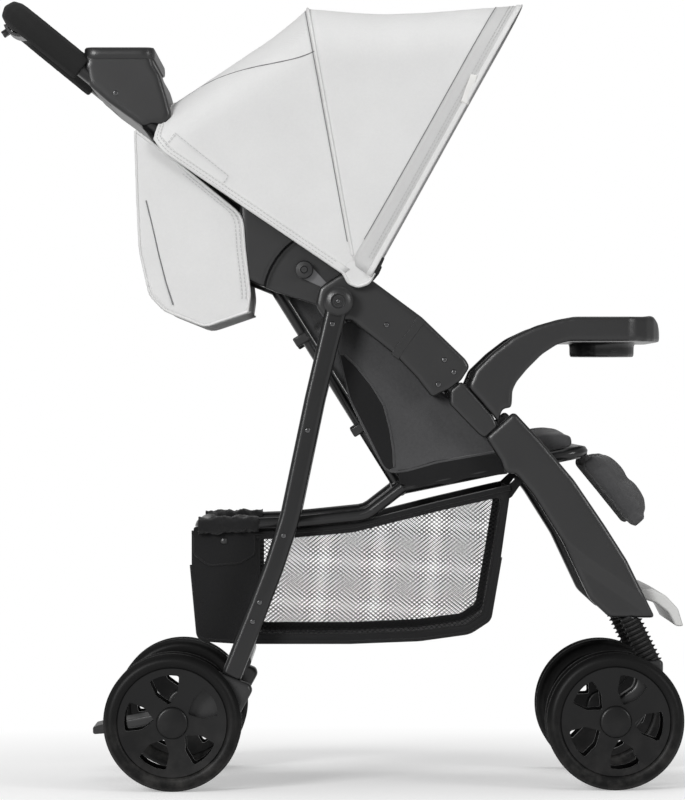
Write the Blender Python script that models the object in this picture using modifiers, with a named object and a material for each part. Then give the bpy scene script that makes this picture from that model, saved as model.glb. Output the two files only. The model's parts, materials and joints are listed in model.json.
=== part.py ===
# Pushchair with twin wheels, two trays, a hood, a reclining seat and a basket.
# Metres, +Z up, +X forwards, +Y to the child's left. The floor is Z = 0.
import math

import bmesh
import bpy
from mathutils import Matrix, Vector

MM = 0.001

# Clearances
GAP = 0.0003              # between faces that touch on the real product
BORE_GAP = 0.0003         # round a shaft or tube
SLACK = 0.0004            # between cloth and what carries it

# Places of the pivots in the side view, (x, z)
HUB = (0.0006, 0.6315)
CANOPY_PIVOT = (0.0248, 0.6600)
LINK_PIVOT = (-0.0632, 0.3447)
SEAT_REAR = (0.0806, 0.3887)
SEAT_SLOPE = math.radians(11.5)
SEAT_PIVOT_RUN = 0.1460   # from the seat's rear pivot to its front pivot
SEAT_LENGTH = 0.2427      # from the seat's rear pivot to its front bar
REAR_AXLE = (-0.2130, 0.0890)
FRONT_AXLE = (0.3585, 0.0890)
SWIVEL_X = 0.4040
LATCH_PIVOT = (-0.0450, 0.6690)
TIE_HEIGHT = 0.2500       # of the cross tube that joins the front frame's sides

# Tubes and covers
FRAME_Y = 0.1950          # middle plane of each side of the frame
COVER_HALF = 0.0155       # half thickness of the plastic covers
SIDE_TUBE_RADIUS = 0.0100
BAR_RADIUS = 0.0110
GRIP_RADIUS = 0.0178
CROSS_TUBE_RADIUS = 0.0095
SEAT_TUBE_RADIUS = 0.0080
LINK_TUBE_RADIUS = 0.0080
BACK_TUBE_RADIUS = 0.0070
HINGE_TUBE_RADIUS = 0.0100
HUB_ZONE = 0.0980         # inside this radius the arm and the handle share the thickness
LATCH_THICKNESS = 0.0030
HUB_PIN_RADIUS = 0.0050
HUB_DISC_RADIUS = 0.0190
HUB_DISC_HEIGHT = 0.0080
REAR_LEG_HALF = 0.0100    # half thickness across
REAR_LEG_WIDTH = 0.0260

# Wheels
WHEEL_RADIUS = 0.0890
TYRE_DEPTH = 0.0190
WHEEL_SIDES = 24
AXLE_RADIUS = 0.0060
REAR_TWIN_HALF_GAP = 0.0160
REAR_TYRE_WIDTH = 0.0260
FRONT_TWIN_HALF_GAP = 0.0180
FRONT_TYRE_WIDTH = 0.0250
FRONT_PAIR_Y = 0.1920
HUB_CAP_RADIUS = 0.0205
SPOKES = 5

# Canopy
FRONT_BOW_ANGLE = math.radians(59.7)
MID_BOW_ANGLE = math.radians(100.1)
FRONT_BOW_REACH = 0.4180
MID_BOW_REACH = 0.3610
BOW_RADIUS = 0.0030
BOW_EYE_RADIUS = 0.0130
CANOPY_PIN_RADIUS = 0.0030
CANOPY_DROP = 0.0470      # how far the hood's shoulder lies below its crown
HOOD_REAR_ANGLE = math.radians(144.5)
HOOD_REAR_CROWN_ANGLE = math.radians(134.2)
HOOD_REAR_REACH = 0.3300
CLOTH = 0.0020

# Soft parts
BACK_LENGTH = 0.4150
BACK_LEAN = math.radians(122.0)
BACK_PAD_THICKNESS = 0.0280
SEAT_PAD_THICKNESS = 0.0260
PAD_HALF_WIDTH = 0.1560
LEG_REST_LENGTH = 0.1180
LEG_REST_DROP = math.radians(-51.0)
LEG_REST_THICKNESS = 0.0380
BASKET_WALL = 0.0025
NET_COLUMNS = 13
NET_ROWS = 4

# Bellows on the front struts
RIB_PITCH = 0.0066
RIB_RADIUS = 0.0150
RIB_ROOT = 0.0122
STRUT_TOP_Z = 0.2214
STRUT_FOOT_Z = 0.1680
STRUT_BEND_Z = 0.2380
STRUT_SLOPE = math.radians(64.0)

# Places that follow from the sizes above
COVER_IN = FRAME_Y - COVER_HALF
COVER_OUT = FRAME_Y + COVER_HALF
HANDLE_EYE_OUT = COVER_OUT - 0.0140
ARM_EYE_IN = HANDLE_EYE_OUT + LATCH_THICKNESS + 2 * GAP
REAR_LEG_Y = COVER_OUT + GAP + REAR_LEG_HALF
LINK_TUBE_Y = COVER_IN - GAP + LINK_TUBE_RADIUS
SEAT_TUBE_Y = LINK_TUBE_Y - LINK_TUBE_RADIUS - GAP - SEAT_TUBE_RADIUS
BACK_TUBE_Y = SEAT_TUBE_Y - SEAT_TUBE_RADIUS - 0.0005 - BACK_TUBE_RADIUS
REAR_PAIR_Y = REAR_LEG_Y - 0.0008
SEAT_FRONT = (SEAT_REAR[0] + SEAT_LENGTH * math.cos(SEAT_SLOPE),
              SEAT_REAR[1] + SEAT_LENGTH * math.sin(SEAT_SLOPE))
SEAT_PIVOT = (SEAT_REAR[0] + SEAT_PIVOT_RUN * math.cos(SEAT_SLOPE),
              SEAT_REAR[1] + SEAT_PIVOT_RUN * math.sin(SEAT_SLOPE))
STRUT_FOOT = (SWIVEL_X, STRUT_FOOT_Z)
MID_BOW_IN = COVER_OUT + GAP
FRONT_BOW_IN = MID_BOW_IN + 2 * BOW_RADIUS + GAP
HOOD_IN = FRONT_BOW_IN + 2 * BOW_RADIUS + SLACK

# The push bar runs straight in the side view, from under the hub to the crossbar
BAR_TOP = (-0.4216, 1.0070)
BAR_SLOPE = math.radians(140.9)
BAR_LENGTH = 0.4652
BAR_FOOT = (BAR_TOP[0] - BAR_LENGTH * math.cos(BAR_SLOPE),
            BAR_TOP[1] - BAR_LENGTH * math.sin(BAR_SLOPE))
BAR_BEND = 0.0600
GRIP_LENGTH = 0.1170      # along each side, from the crossbar

# Outlines in the side view, in millimetres: (x, z), corner radius
ARM_OUTLINE = [(-24, 650, 10), (2, 667, 8), (24, 673, 10), (43, 660, 6), (109, 611, 8), (165, 557, 5),
               (171, 547, 0), (159.5, 529.4, 0), (145, 518, 0), (133, 513, 0), (122, 507, 0),
               (101, 534, 8), (74, 562, 8), (16, 608, 10), (-14, 604, 12), (-29, 626, 12)]
SLEEVE_OUTLINE = [(159.5, 528.2, 0), (168.0, 520.6, 0), (200.9, 483.0, 0), (207.0, 470.6, 0),
                  (190.0, 454.9, 0), (182, 460, 0), (145.3, 498, 4), (145.3, 516.8, 0)]
LEG_OUTLINE = [(228, 489, 0), (263, 451, 30), (306, 400, 30), (346, 341, 30), (374, 297, 30),
               (402, 240, 20), (411, 222, 0), (352, 222, 10), (326, 246, 14), (306, 288, 30),
               (290, 322, 30), (253, 381, 30), (230, 409, 8), (216, 409, 8), (211, 425, 8), (191, 455.9, 0),
               (208.2, 471.2, 0)]
HANDLE_OUTLINE = [(-122, 661, 8), (-81, 644, 20), (-27, 627, 8), (-10, 606, 12), (14, 606, 12),
                  (28, 632, 10), (24, 668, 10), (-20, 703, 12), (-113, 778, 6), (-128, 770, 6)]
STEP_OUTLINE = [(392, 258, 4), (408, 259, 5), (426, 250, 8), (442, 233, 8), (449, 210, 0), (439, 210, 0),
                (430, 228, 8), (414, 240, 8), (394, 246, 4)]
CHILD_TRAY_OUTLINE = [(178, 544, 4), (202, 567, 20), (228, 587, 30), (256, 600, 30), (284, 608, 30),
                      (306, 612, 20), (396, 612, 8), (409, 614, 5), (417, 604, 6), (424, 579, 5),
                      (385, 580, 10), (298, 580, 15), (284, 576, 10), (264, 563, 20), (245, 544, 20),
                      (231, 527, 12), (226, 516, 8), (225, 494, 4), (213, 493, 4), (207.4, 475.6, 0),
                      (201.3, 483.3, 0), (168.4, 520.9, 0)]
PARENT_TRAY_OUTLINE = [(-324, 958, 5), (-276, 957, 20), (-243, 954, 5), (-238, 938, 6), (-230, 925, 10),
                       (-220, 892, 20), (-215, 872, 6), (-222, 862, 5), (-253, 857, 5), (-297, 889, 20),
                       (-322, 911, 6), (-329, 941, 8)]
BASKET_OUTLINE = [(-190, 332.5, 2), (-63, 335.5, 60), (20, 343, 60), (132, 371, 60), (205, 388, 30),
                  (224, 392, 3), (211, 300, 90), (197, 219, 14), (171, 202, 30), (106, 193, 60),
                  (16, 189, 60), (-127, 189, 40), (-181, 193, 10), (-190, 290, 60)]
SIDE_PANEL_OUTLINE = [(-4, 590, 4), (20, 596, 4), (118, 506, 6), (140, 498, 4), (186, 452, 4), (213, 434, 4),
                      (133, 423, 40), (87, 411, 20), (72, 409, 4), (61, 415, 4), (16, 504, 60)]
REAR_FABRIC_OUTLINE = [(-262, 852, 4), (-259, 763, 80), (-256, 698, 60), (-243, 640, 20), (-224, 620, 20),
                       (-172, 599, 20), (-117, 618, 10), (-112, 640, 20), (-120, 700, 40), (-117, 742, 3)]
LATCH_OUTLINE = [(-55, 666, 6), (-52, 680, 6), (-38, 681, 5), (-14, 655, 2), (-20, 650, 2), (-38, 658, 4)]
SIDE_TUBE_PATH = [(84, 594), (158, 511), (198, 467.5), (243, 425), (288, 365), (330, 300), (366, 238)]
REAR_LEG_PATH = [(0.6, 631.5), (-30, 505), (-62, 352), (-82, 290), (-104, 232), (-139, 144)]
LINK_PATH = [(80.6, 388.7), (37, 355), (-63.2, 344.7), (-178, 341)]


def make_collection(name):
    found = bpy.data.collections.get(name)
    if found is None:
        found = bpy.data.collections.new(name)
        bpy.context.scene.collection.children.link(found)
    return found


def clear_scene():
    for thing in list(bpy.data.objects):
        bpy.data.objects.remove(thing, do_unlink=True)


PARTS = make_collection("pushchair")
CUTTERS = make_collection("cutters")


def finish(name, colour, roughness, metallic=0.0):
    material = bpy.data.materials.new(name)
    material.use_nodes = True
    shader = material.node_tree.nodes["Principled BSDF"]
    shader.inputs["Base Color"].default_value = (*colour, 1.0)
    shader.inputs["Roughness"].default_value = roughness
    shader.inputs["Metallic"].default_value = metallic
    material.diffuse_color = (*colour, 1.0)
    return material


# Finishes: colour, roughness, metallic
LOOKS = {
    "plastic": ((0.035, 0.035, 0.037), 0.50, 0.0),
    "paint": ((0.020, 0.020, 0.021), 0.40, 0.3),
    "foam": ((0.015, 0.015, 0.015), 0.85, 0.0),
    "rubber": ((0.030, 0.030, 0.030), 0.75, 0.0),
    "rim": ((0.033, 0.033, 0.034), 0.45, 0.0),
    "light_plastic": ((0.62, 0.62, 0.61), 0.45, 0.0),
    "light_cloth": ((0.72, 0.72, 0.71), 0.90, 0.0),
    "dark_cloth": ((0.085, 0.085, 0.087), 0.90, 0.0),
    "black_cloth": ((0.015, 0.015, 0.016), 0.85, 0.0),
    "steel": ((0.45, 0.45, 0.46), 0.30, 1.0),
}


def add(name, mesh, look, collection=None):
    thing = bpy.data.objects.new(name, mesh)
    (collection or PARTS).objects.link(thing)
    if look:
        mesh.materials.clear()
        mesh.materials.append(finish(name, *LOOKS[look]))
    return thing


def guide(thing):
    """Hide a shape that only cuts or joins another."""
    for collection in list(thing.users_collection):
        collection.objects.unlink(thing)
    CUTTERS.objects.link(thing)
    thing.hide_render = True
    thing.display_type = "WIRE"
    return thing


def boolean(target, other, operation):
    modifier = target.modifiers.new(operation.lower(), "BOOLEAN")
    modifier.operation = operation
    modifier.solver = "EXACT"
    modifier.object = guide(other)
    return target


def cut(target, *others):
    for other in others:
        boolean(target, other, "DIFFERENCE")
    return target


def fuse(target, *others):
    for other in others:
        boolean(target, other, "UNION")
    return target


def bevel(thing, width, segments=2, angle=35):
    modifier = thing.modifiers.new("edges", "BEVEL")
    modifier.width = width
    modifier.segments = segments
    modifier.limit_method = "ANGLE"
    modifier.angle_limit = math.radians(angle)
    return thing


def smooth(mesh, angle=35):
    mesh.shade_smooth()
    mesh.set_sharp_from_angle(angle=math.radians(angle))


def rounded(corners, closed=True, step=math.radians(28)):
    """Points of a path whose corners (point, radius) are turned into arcs."""
    points = [(Vector(p), r) for p, r in corners]
    out = []
    for i, (p, radius) in enumerate(points):
        if not closed and i in (0, len(points) - 1):
            out.append(p)
            continue
        a = (points[i - 1][0] - p)
        b = (points[(i + 1) % len(points)][0] - p)
        turn = math.pi - a.angle(b)
        if radius <= 0 or turn < math.radians(2):
            out.append(p)
            continue
        reach = min(radius * math.tan(turn / 2), 0.45 * a.length, 0.45 * b.length)
        start, end = p + a.normalized() * reach, p + b.normalized() * reach
        count = max(1, round(turn / step))
        for k in range(count + 1):
            t = k / count
            out.append((1 - t) ** 2 * start + 2 * t * (1 - t) * p + t ** 2 * end)
    return out


def flat(outline, grow=0.0, lift=None):
    """An outline in millimetres with corner radii, as rounded points in metres.

    grow moves the corners outwards first, and lift moves each corner once more.
    """
    corners = [Vector((x, z)) * MM for x, z, r in outline]
    if grow:
        corners = offset(corners, grow)
    if lift:
        corners = [lift(p) for p in corners]
    return rounded([(p, max(0.0, r * MM + grow)) for p, (x, z, r) in zip(corners, outline)])


def offset(points, grow):
    """Move a closed flat outline outwards by grow."""
    area = sum(a.x * b.y - b.x * a.y for a, b in zip(points, points[1:] + points[:1]))
    side = 1 if area > 0 else -1
    out = []
    for i, p in enumerate(points):
        a = (p - points[i - 1]).normalized()
        b = (points[(i + 1) % len(points)] - p).normalized()
        na, nb = Vector((a.y, -a.x)) * side, Vector((b.y, -b.x)) * side
        way = (na + nb).normalized()
        out.append(p + way * (grow / max(0.5, way.dot(na))))
    return out


def to_mesh(curve_object):
    """Turn a curve object into a welded mesh in world space and remove the curve."""
    bpy.context.view_layer.update()
    evaluated = curve_object.evaluated_get(bpy.context.evaluated_depsgraph_get())
    mesh = bpy.data.meshes.new_from_object(evaluated)
    mesh.transform(curve_object.matrix_world)
    work = bmesh.new()
    work.from_mesh(mesh)
    bmesh.ops.remove_doubles(work, verts=work.verts, dist=0.00001)
    bmesh.ops.dissolve_limit(work, angle_limit=0.002, verts=work.verts, edges=work.edges)
    bmesh.ops.recalc_face_normals(work, faces=work.faces)
    if work.calc_volume(signed=True) < 0:
        bmesh.ops.reverse_faces(work, faces=work.faces)
    work.to_mesh(mesh)
    work.free()
    bpy.data.objects.remove(curve_object, do_unlink=True)
    return mesh


def plate(name, points, y_low, y_high, look, round_edges=0.0, segments=2):
    """A flat outline in the side view, made solid between two planes across the pushchair."""
    curve = bpy.data.curves.new(name, "CURVE")
    curve.dimensions = "2D"
    curve.fill_mode = "BOTH"
    curve.extrude = abs(y_high - y_low) / 2
    curve.render_resolution_u = 0
    spline = curve.splines.new("POLY")
    spline.points.add(len(points) - 1)
    for slot, p in zip(spline.points, points):
        slot.co = (p[0], p[1], 0.0, 1.0)
    spline.use_cyclic_u = True
    shape = bpy.data.objects.new(name, curve)
    PARTS.objects.link(shape)
    shape.rotation_euler = (math.pi / 2, 0.0, 0.0)
    shape.location = (0.0, (y_low + y_high) / 2, 0.0)
    thing = add(name, to_mesh(shape), look)
    if round_edges:
        bevel(thing, round_edges, segments)
    return thing


def slab(name, points, low, high, look, round_edges=0.0):
    """A flat outline in plan, made solid between two heights."""
    thing = plate(name, points, -high, -low, look, round_edges)
    thing.data.transform(Matrix.Rotation(math.pi / 2, 4, "X").inverted())
    return thing


def tube(name, points, radius, look, resolution=2, radii=None):
    """A round bar or tube along points, capped."""
    curve = bpy.data.curves.new(name, "CURVE")
    curve.dimensions = "3D"
    curve.bevel_depth = radius
    curve.bevel_resolution = resolution
    curve.use_fill_caps = True
    curve.render_resolution_u = 0
    spline = curve.splines.new("POLY")
    spline.points.add(len(points) - 1)
    for i, (slot, p) in enumerate(zip(spline.points, points)):
        slot.co = (*p, 1.0)
        slot.radius = radii[i] if radii else 1.0
    shape = bpy.data.objects.new(name, curve)
    PARTS.objects.link(shape)
    return add(name, to_mesh(shape), look)


def rod(name, start, end, radius, look, sides=16):
    """A straight round bar between two points."""
    start, end = Vector(start), Vector(end)
    work = bmesh.new()
    bmesh.ops.create_cone(work, cap_ends=True, segments=sides, radius1=radius, radius2=radius,
                          depth=(end - start).length)
    mesh = bpy.data.meshes.new(name)
    work.to_mesh(mesh)
    work.free()
    turn = (end - start).to_track_quat("Z", "Y").to_matrix().to_4x4()
    mesh.transform(Matrix.Translation((start + end) / 2) @ turn)
    return add(name, mesh, look)


def block(name, low, high, look=None):
    """A plain box between two corners."""
    low, high = Vector(low), Vector(high)
    work = bmesh.new()
    bmesh.ops.create_cube(work, size=1.0)
    mesh = bpy.data.meshes.new(name)
    work.to_mesh(mesh)
    work.free()
    size = high - low
    mesh.transform(Matrix.Translation((low + high) / 2) @ Matrix.Diagonal((*size, 1.0)))
    return add(name, mesh, look)


def across(point, y):
    """A side-view point (x, z) at a place y across the pushchair."""
    return Vector((point[0], y, point[1]))


def sides():
    return (("left", 1), ("right", -1))


def side_plate(name, points, side, inner, outer, look, round_edges=0.0, segments=2):
    low, high = sorted((side * inner, side * outer))
    return plate(name, points, low, high, look, round_edges, segments)


def polar(centre, angle, reach):
    return (centre[0] + reach * math.cos(angle), centre[1] + reach * math.sin(angle))


# Front frame: one welded piece inside the covers
def strut_point(z):
    """The point of a front strut's axis at height z."""
    return (STRUT_FOOT[0] - (z - STRUT_FOOT[1]) / math.tan(STRUT_SLOPE), z)


TIE = strut_point(TIE_HEIGHT)


def side_tube_points(side, stretch=0.0):
    flat_path = [Vector(p) * MM for p in SIDE_TUBE_PATH] + [Vector(strut_point(STRUT_FOOT_Z + 0.0075))]
    flat_path[-2] = Vector(strut_point(STRUT_BEND_Z))
    if stretch:
        flat_path[0] += (flat_path[0] - flat_path[1]).normalized() * stretch
        flat_path[-1] += (flat_path[-1] - flat_path[-2]).normalized() * stretch
    path = rounded([(across(p, side * FRAME_Y), 0.09) for p in flat_path], closed=False, step=math.radians(12))
    return path


def front_frame():
    frame = tube("front_frame", side_tube_points(1), SIDE_TUBE_RADIUS, "paint")
    other = tube("front_frame_right", side_tube_points(-1), SIDE_TUBE_RADIUS, None)
    cross = rod("front_cross", across(TIE, -FRAME_Y), across(TIE, FRAME_Y), CROSS_TUBE_RADIUS, None, 12)
    return fuse(frame, cross, other)


def hub_zone(name, inner, outer, side):
    return rod(name, across(HUB, side * inner), across(HUB, side * outer), HUB_ZONE, None, 40)


def arm_housing(word, side):
    arm = side_plate("arm_housing_" + word, flat(ARM_OUTLINE), side, COVER_IN, COVER_OUT, "plastic", 0.0025, 1)
    tunnel = tube("arm_tunnel_" + word, side_tube_points(side), SIDE_TUBE_RADIUS + BORE_GAP, None)
    zone = hub_zone("arm_zone_" + word, COVER_IN - 0.01, ARM_EYE_IN, side)
    bore = rod("arm_bore_" + word, across(HUB, side * COVER_IN), across(HUB, side * (COVER_OUT + 0.01)),
               HUB_PIN_RADIUS + BORE_GAP, None)
    cut(arm, zone, tunnel, bore)
    pin_end = FRONT_BOW_IN + 2 * BOW_RADIUS - GAP
    pin = rod("canopy_pin_" + word, across(CANOPY_PIVOT, side * (COVER_OUT - 0.004)),
              across(CANOPY_PIVOT, side * pin_end), CANOPY_PIN_RADIUS, None, 12)
    return fuse(arm, pin)


def knee_sleeve(word, side):
    sleeve = side_plate("knee_sleeve_" + word, flat(SLEEVE_OUTLINE), side, COVER_IN, COVER_OUT, "plastic", 0.002, 1)
    tunnel = tube("sleeve_tunnel_" + word, side_tube_points(side), SIDE_TUBE_RADIUS + BORE_GAP, None)
    return cut(sleeve, tunnel)


def leg_cover(word, side):
    cover = side_plate("front_leg_cover_" + word, flat(LEG_OUTLINE), side, COVER_IN, COVER_OUT, "plastic", 0.003, 1)
    tunnel = tube("leg_tunnel_" + word, side_tube_points(side), SIDE_TUBE_RADIUS + BORE_GAP, None)
    hole = rod("leg_tie_hole_" + word, across(TIE, side * 0.15), across(TIE, side * FRAME_Y),
               CROSS_TUBE_RADIUS + BORE_GAP, None, 12)
    return cut(cover, tunnel, hole)


def bellows(word, side):
    """A ribbed rubber sleeve round the strut, cut level at both ends."""
    top = Vector(across(strut_point(STRUT_TOP_Z + 0.012), side * FRAME_Y))
    foot = Vector(across(strut_point(STRUT_FOOT_Z - 0.012), side * FRAME_Y))
    ribs = round((top - foot).length / RIB_PITCH)
    points = [top.lerp(foot, k / (2 * ribs)) for k in range(2 * ribs + 1)]
    radii = [1.0 if k % 2 else RIB_ROOT / RIB_RADIUS for k in range(2 * ribs + 1)]
    sleeve = tube("strut_bellows_" + word, points, RIB_RADIUS, "rubber", 2, radii)
    bore = rod("bellows_bore_" + word, top + (top - foot), foot - (top - foot), SIDE_TUBE_RADIUS + BORE_GAP, None, 8)
    reach = 0.05
    x, y = top.x, top.y
    above = block("bellows_top_" + word, (x - reach, y - reach, STRUT_TOP_Z), (x + reach, y + reach, STRUT_TOP_Z + reach))
    x = foot.x
    below = block("bellows_foot_" + word, (x - reach, y - reach, STRUT_FOOT_Z - reach), (x + reach, y + reach, STRUT_FOOT_Z))
    return cut(sleeve, bore, above, below)


def hub_pin(word, side):
    """The pin through the hub, with the round cap outside the rear leg."""
    outer = REAR_LEG_Y + REAR_LEG_HALF + GAP
    inner = COVER_IN - 0.0006
    pin = rod("hub_pin_" + word, across(HUB, side * inner), across(HUB, side * (outer + 0.002)),
              HUB_PIN_RADIUS, "plastic")
    cap = rod("hub_cap_" + word, across(HUB, side * outer), across(HUB, side * (outer + HUB_DISC_HEIGHT)),
              HUB_DISC_RADIUS, None, 28)
    return fuse(pin, cap)


def footrest_step():
    wide = COVER_IN - GAP
    return plate("footrest_step", flat(STEP_OUTLINE), -wide, wide, "light_plastic", 0.002, 1)


def child_tray():
    """The child's tray: one moulding with an arm down to each knee."""
    tray = plate("child_tray", flat(CHILD_TRAY_OUTLINE), -COVER_OUT, COVER_OUT, "plastic")
    nose = max(x for x, z, r in CHILD_TRAY_OUTLINE) * MM
    plan = [(0.10, -0.25), (nose - 0.007, -COVER_OUT), (nose + 0.001, 0.0), (nose - 0.007, COVER_OUT), (0.10, 0.25)]
    plan = rounded([(Vector(p), r) for p, r in zip(plan, (0, 0.085, 0.8, 0.085, 0))], step=math.radians(14))
    boolean(tray, slab("tray_plan", plan, 0.40, 0.70, None), "INTERSECT")
    bevel(tray, 0.003, 1)
    inner = COVER_IN + 0.001
    bay = [(0.10, -inner), (0.286, -inner), (0.298, 0.0), (0.286, inner), (0.10, inner)]
    bay = rounded([(Vector(p), r) for p, r in zip(bay, (0, 0.055, 0.4, 0.055, 0))])
    cut(tray, slab("tray_bay", bay, 0.40, 0.66, None))
    cup = rod("tray_cup", (0.351, 0, 0.5610), (0.351, 0, 0.5900), 0.0430, None, 28)
    fuse(tray, cup)
    dish = [(0.304, -0.150), (0.400, -0.150), (0.400, 0.150), (0.304, 0.150)]
    dish = rounded([(Vector(p), 0.03) for p in dish])
    well = rod("tray_well", (0.351, 0, 0.5650), (0.351, 0, 0.65), 0.0390, None, 28)
    return cut(tray, slab("tray_dish", dish, 0.6060, 0.66, None), well)


# Push bar and what it carries
def bar_path(radius_in, length, stretch=0.0):
    """The push bar's route: up the right side, across and down the left."""
    foot = Vector(BAR_TOP) + (Vector(BAR_FOOT) - Vector(BAR_TOP)).normalized() * (length + stretch)
    corners = [(across(foot, -FRAME_Y), 0.0), (across(BAR_TOP, -FRAME_Y), radius_in),
               (across(BAR_TOP, FRAME_Y), radius_in), (across(foot, FRAME_Y), 0.0)]
    return rounded(corners, closed=False, step=math.radians(15))


def push_bar():
    return tube("push_bar", bar_path(BAR_BEND, BAR_LENGTH), BAR_RADIUS, "paint")


def foam_grip():
    grip = tube("foam_grip", bar_path(BAR_BEND, GRIP_LENGTH), GRIP_RADIUS, "foam")
    bore = tube("grip_bore", bar_path(BAR_BEND, BAR_LENGTH), BAR_RADIUS + BORE_GAP, None)
    return cut(grip, bore)


def parent_tray():
    """The parent's tray, clamped over both sides of the push bar."""
    wide = COVER_OUT - 0.0015
    tray = plate("parent_tray", flat(PARENT_TRAY_OUTLINE), -wide, wide, "plastic", 0.003, 1)
    bore = tube("parent_bore", bar_path(BAR_BEND, BAR_LENGTH), BAR_RADIUS + BORE_GAP, None)
    seat = tube("parent_grip_seat", bar_path(BAR_BEND, GRIP_LENGTH, GAP), GRIP_RADIUS + BORE_GAP, None)
    cut(tray, bore, seat)
    for y in (-0.105, 0.105):
        well = rod("parent_well", (-0.281, y, 0.8920), (-0.281, y, 1.0), 0.0350, None, 24)
        cut(tray, well)
    shelf = [(-0.313, -0.055), (-0.252, -0.055), (-0.252, 0.055), (-0.313, 0.055)]
    shelf = rounded([(Vector(p), 0.02) for p in shelf])
    return cut(tray, slab("parent_shelf", shelf, 0.9150, 1.0, None))


def handle_housing(word, side):
    housing = side_plate("handle_housing_" + word, flat(HANDLE_OUTLINE), side, COVER_IN, COVER_OUT, "plastic", 0.003, 1)
    zone = hub_zone("handle_zone_" + word, HANDLE_EYE_OUT, COVER_OUT + 0.01, side)
    tunnel = tube("handle_tunnel_" + word, bar_path(BAR_BEND, BAR_LENGTH, GAP), BAR_RADIUS + BORE_GAP, None)
    bore = rod("handle_hub_bore_" + word, across(HUB, side * (COVER_IN - 0.01)), across(HUB, side * COVER_OUT),
               HUB_PIN_RADIUS + BORE_GAP, None)
    return cut(housing, zone, tunnel, bore)


def release_lever():
    """A pull lever for the fold, lying along the underside of the grip."""
    inner, outer = GRIP_RADIUS + GAP, GRIP_RADIUS + 0.0042
    angles = [math.radians(a) for a in range(196, 293, 12)]
    ring = [Vector(polar(BAR_TOP, a, outer)) for a in angles]
    ring += [Vector(polar(BAR_TOP, a, inner)) for a in reversed(angles)]
    lever = plate("release_lever", ring, -0.045, 0.045, "plastic")
    tab_a, tab_b = polar(BAR_TOP, math.radians(214), outer - 0.001), polar(BAR_TOP, math.radians(214), outer + 0.008)
    tab = tube("lever_tab", [across(tab_a, 0), across(tab_b, 0)], 0.005, None)
    return fuse(lever, tab)


def lock_latch(word, side):
    return side_plate("lock_latch_" + word, flat(LATCH_OUTLINE), side, HANDLE_EYE_OUT + GAP,
                      HANDLE_EYE_OUT + GAP + LATCH_THICKNESS, "steel")


def rear_fabric():
    """The cloth back of the hood, hung round the push bar, open to the front and at the top."""
    inner = COVER_OUT + SLACK
    outer = inner + CLOTH
    shell = plate("rear_fabric", flat(REAR_FABRIC_OUTLINE), -outer, outer, "light_cloth")
    past = 50 * MM            # how far the cutter runs out of the open front and top
    hollow = flat(REAR_FABRIC_OUTLINE, -2 * CLOTH,
                  lambda p: Vector((p.x + (past if p.x > -140 * MM else 0.0),
                                    p.y + (past if p.y > 730 * MM else 0.0))))
    return cut(shell, plate("rear_fabric_hollow", hollow, -inner, inner, None))


# Hood
def hoop(angle, reach, half_width, rear_angle=None):
    """The route of a hood bow: up one side from the pivot, over the crown and down."""
    crown_angle = angle if rear_angle is None else rear_angle
    shoulder = reach - CANOPY_DROP
    corners = [((half_width, 0.012), 0), ((half_width, shoulder), 0.055), ((half_width * 0.80, reach - 0.008), 0.06),
               ((0.0, reach), 0.8), ((-half_width * 0.80, reach - 0.008), 0.06), ((-half_width, shoulder), 0.055),
               ((-half_width, 0.012), 0)]
    path = rounded([(Vector(p), r) for p, r in corners], closed=False, step=math.radians(20))
    out = []
    for p in path:
        share = max(0.0, (p.y - shoulder) / CANOPY_DROP)
        turn = angle + (crown_angle - angle) * share
        x, z = polar(CANOPY_PIVOT, turn, p.y)
        out.append(Vector((x, p.x, z)))
    return out


def bow(name, angle, reach, inner):
    y = inner + BOW_RADIUS
    hoop_tube = tube(name, hoop(angle, reach, y), BOW_RADIUS - 0.0002, "paint", 1)
    for word, side in sides():
        eye = rod(name + "_eye_" + word, across(CANOPY_PIVOT, side * inner),
                  across(CANOPY_PIVOT, side * (inner + 2 * BOW_RADIUS)), BOW_EYE_RADIUS, None, 16)
        fuse(hoop_tube, eye)
    bore = rod(name + "_bore", across(CANOPY_PIVOT, -0.3), across(CANOPY_PIVOT, 0.3), CANOPY_PIN_RADIUS + BORE_GAP, None, 12)
    return cut(hoop_tube, bore)


def cloth_between(name, first, second, look):
    """A sheet of cloth between two hoop routes with as many points, given its thickness."""
    work = bmesh.new()
    rows = 3
    grid = []
    for k in range(rows + 1):
        t = k / rows
        grid.append([work.verts.new(a.lerp(b, t)) for a, b in zip(first, second)])
    for upper, lower in zip(grid, grid[1:]):
        for i in range(len(upper) - 1):
            work.faces.new((upper[i], upper[i + 1], lower[i + 1], lower[i]))
    bmesh.ops.recalc_face_normals(work, faces=work.faces)
    middle = work.faces[len(work.faces) // 2]
    outwards = middle.calc_center_median() - Vector(across(CANOPY_PIVOT, 0))
    if middle.normal.dot(outwards) < 0:
        bmesh.ops.reverse_faces(work, faces=work.faces)
    mesh = bpy.data.meshes.new(name)
    work.to_mesh(mesh)
    work.free()
    sheet = add(name, mesh, look)
    thick = sheet.modifiers.new("cloth", "SOLIDIFY")
    thick.thickness = CLOTH
    thick.offset = 1.0
    return sheet


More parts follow.
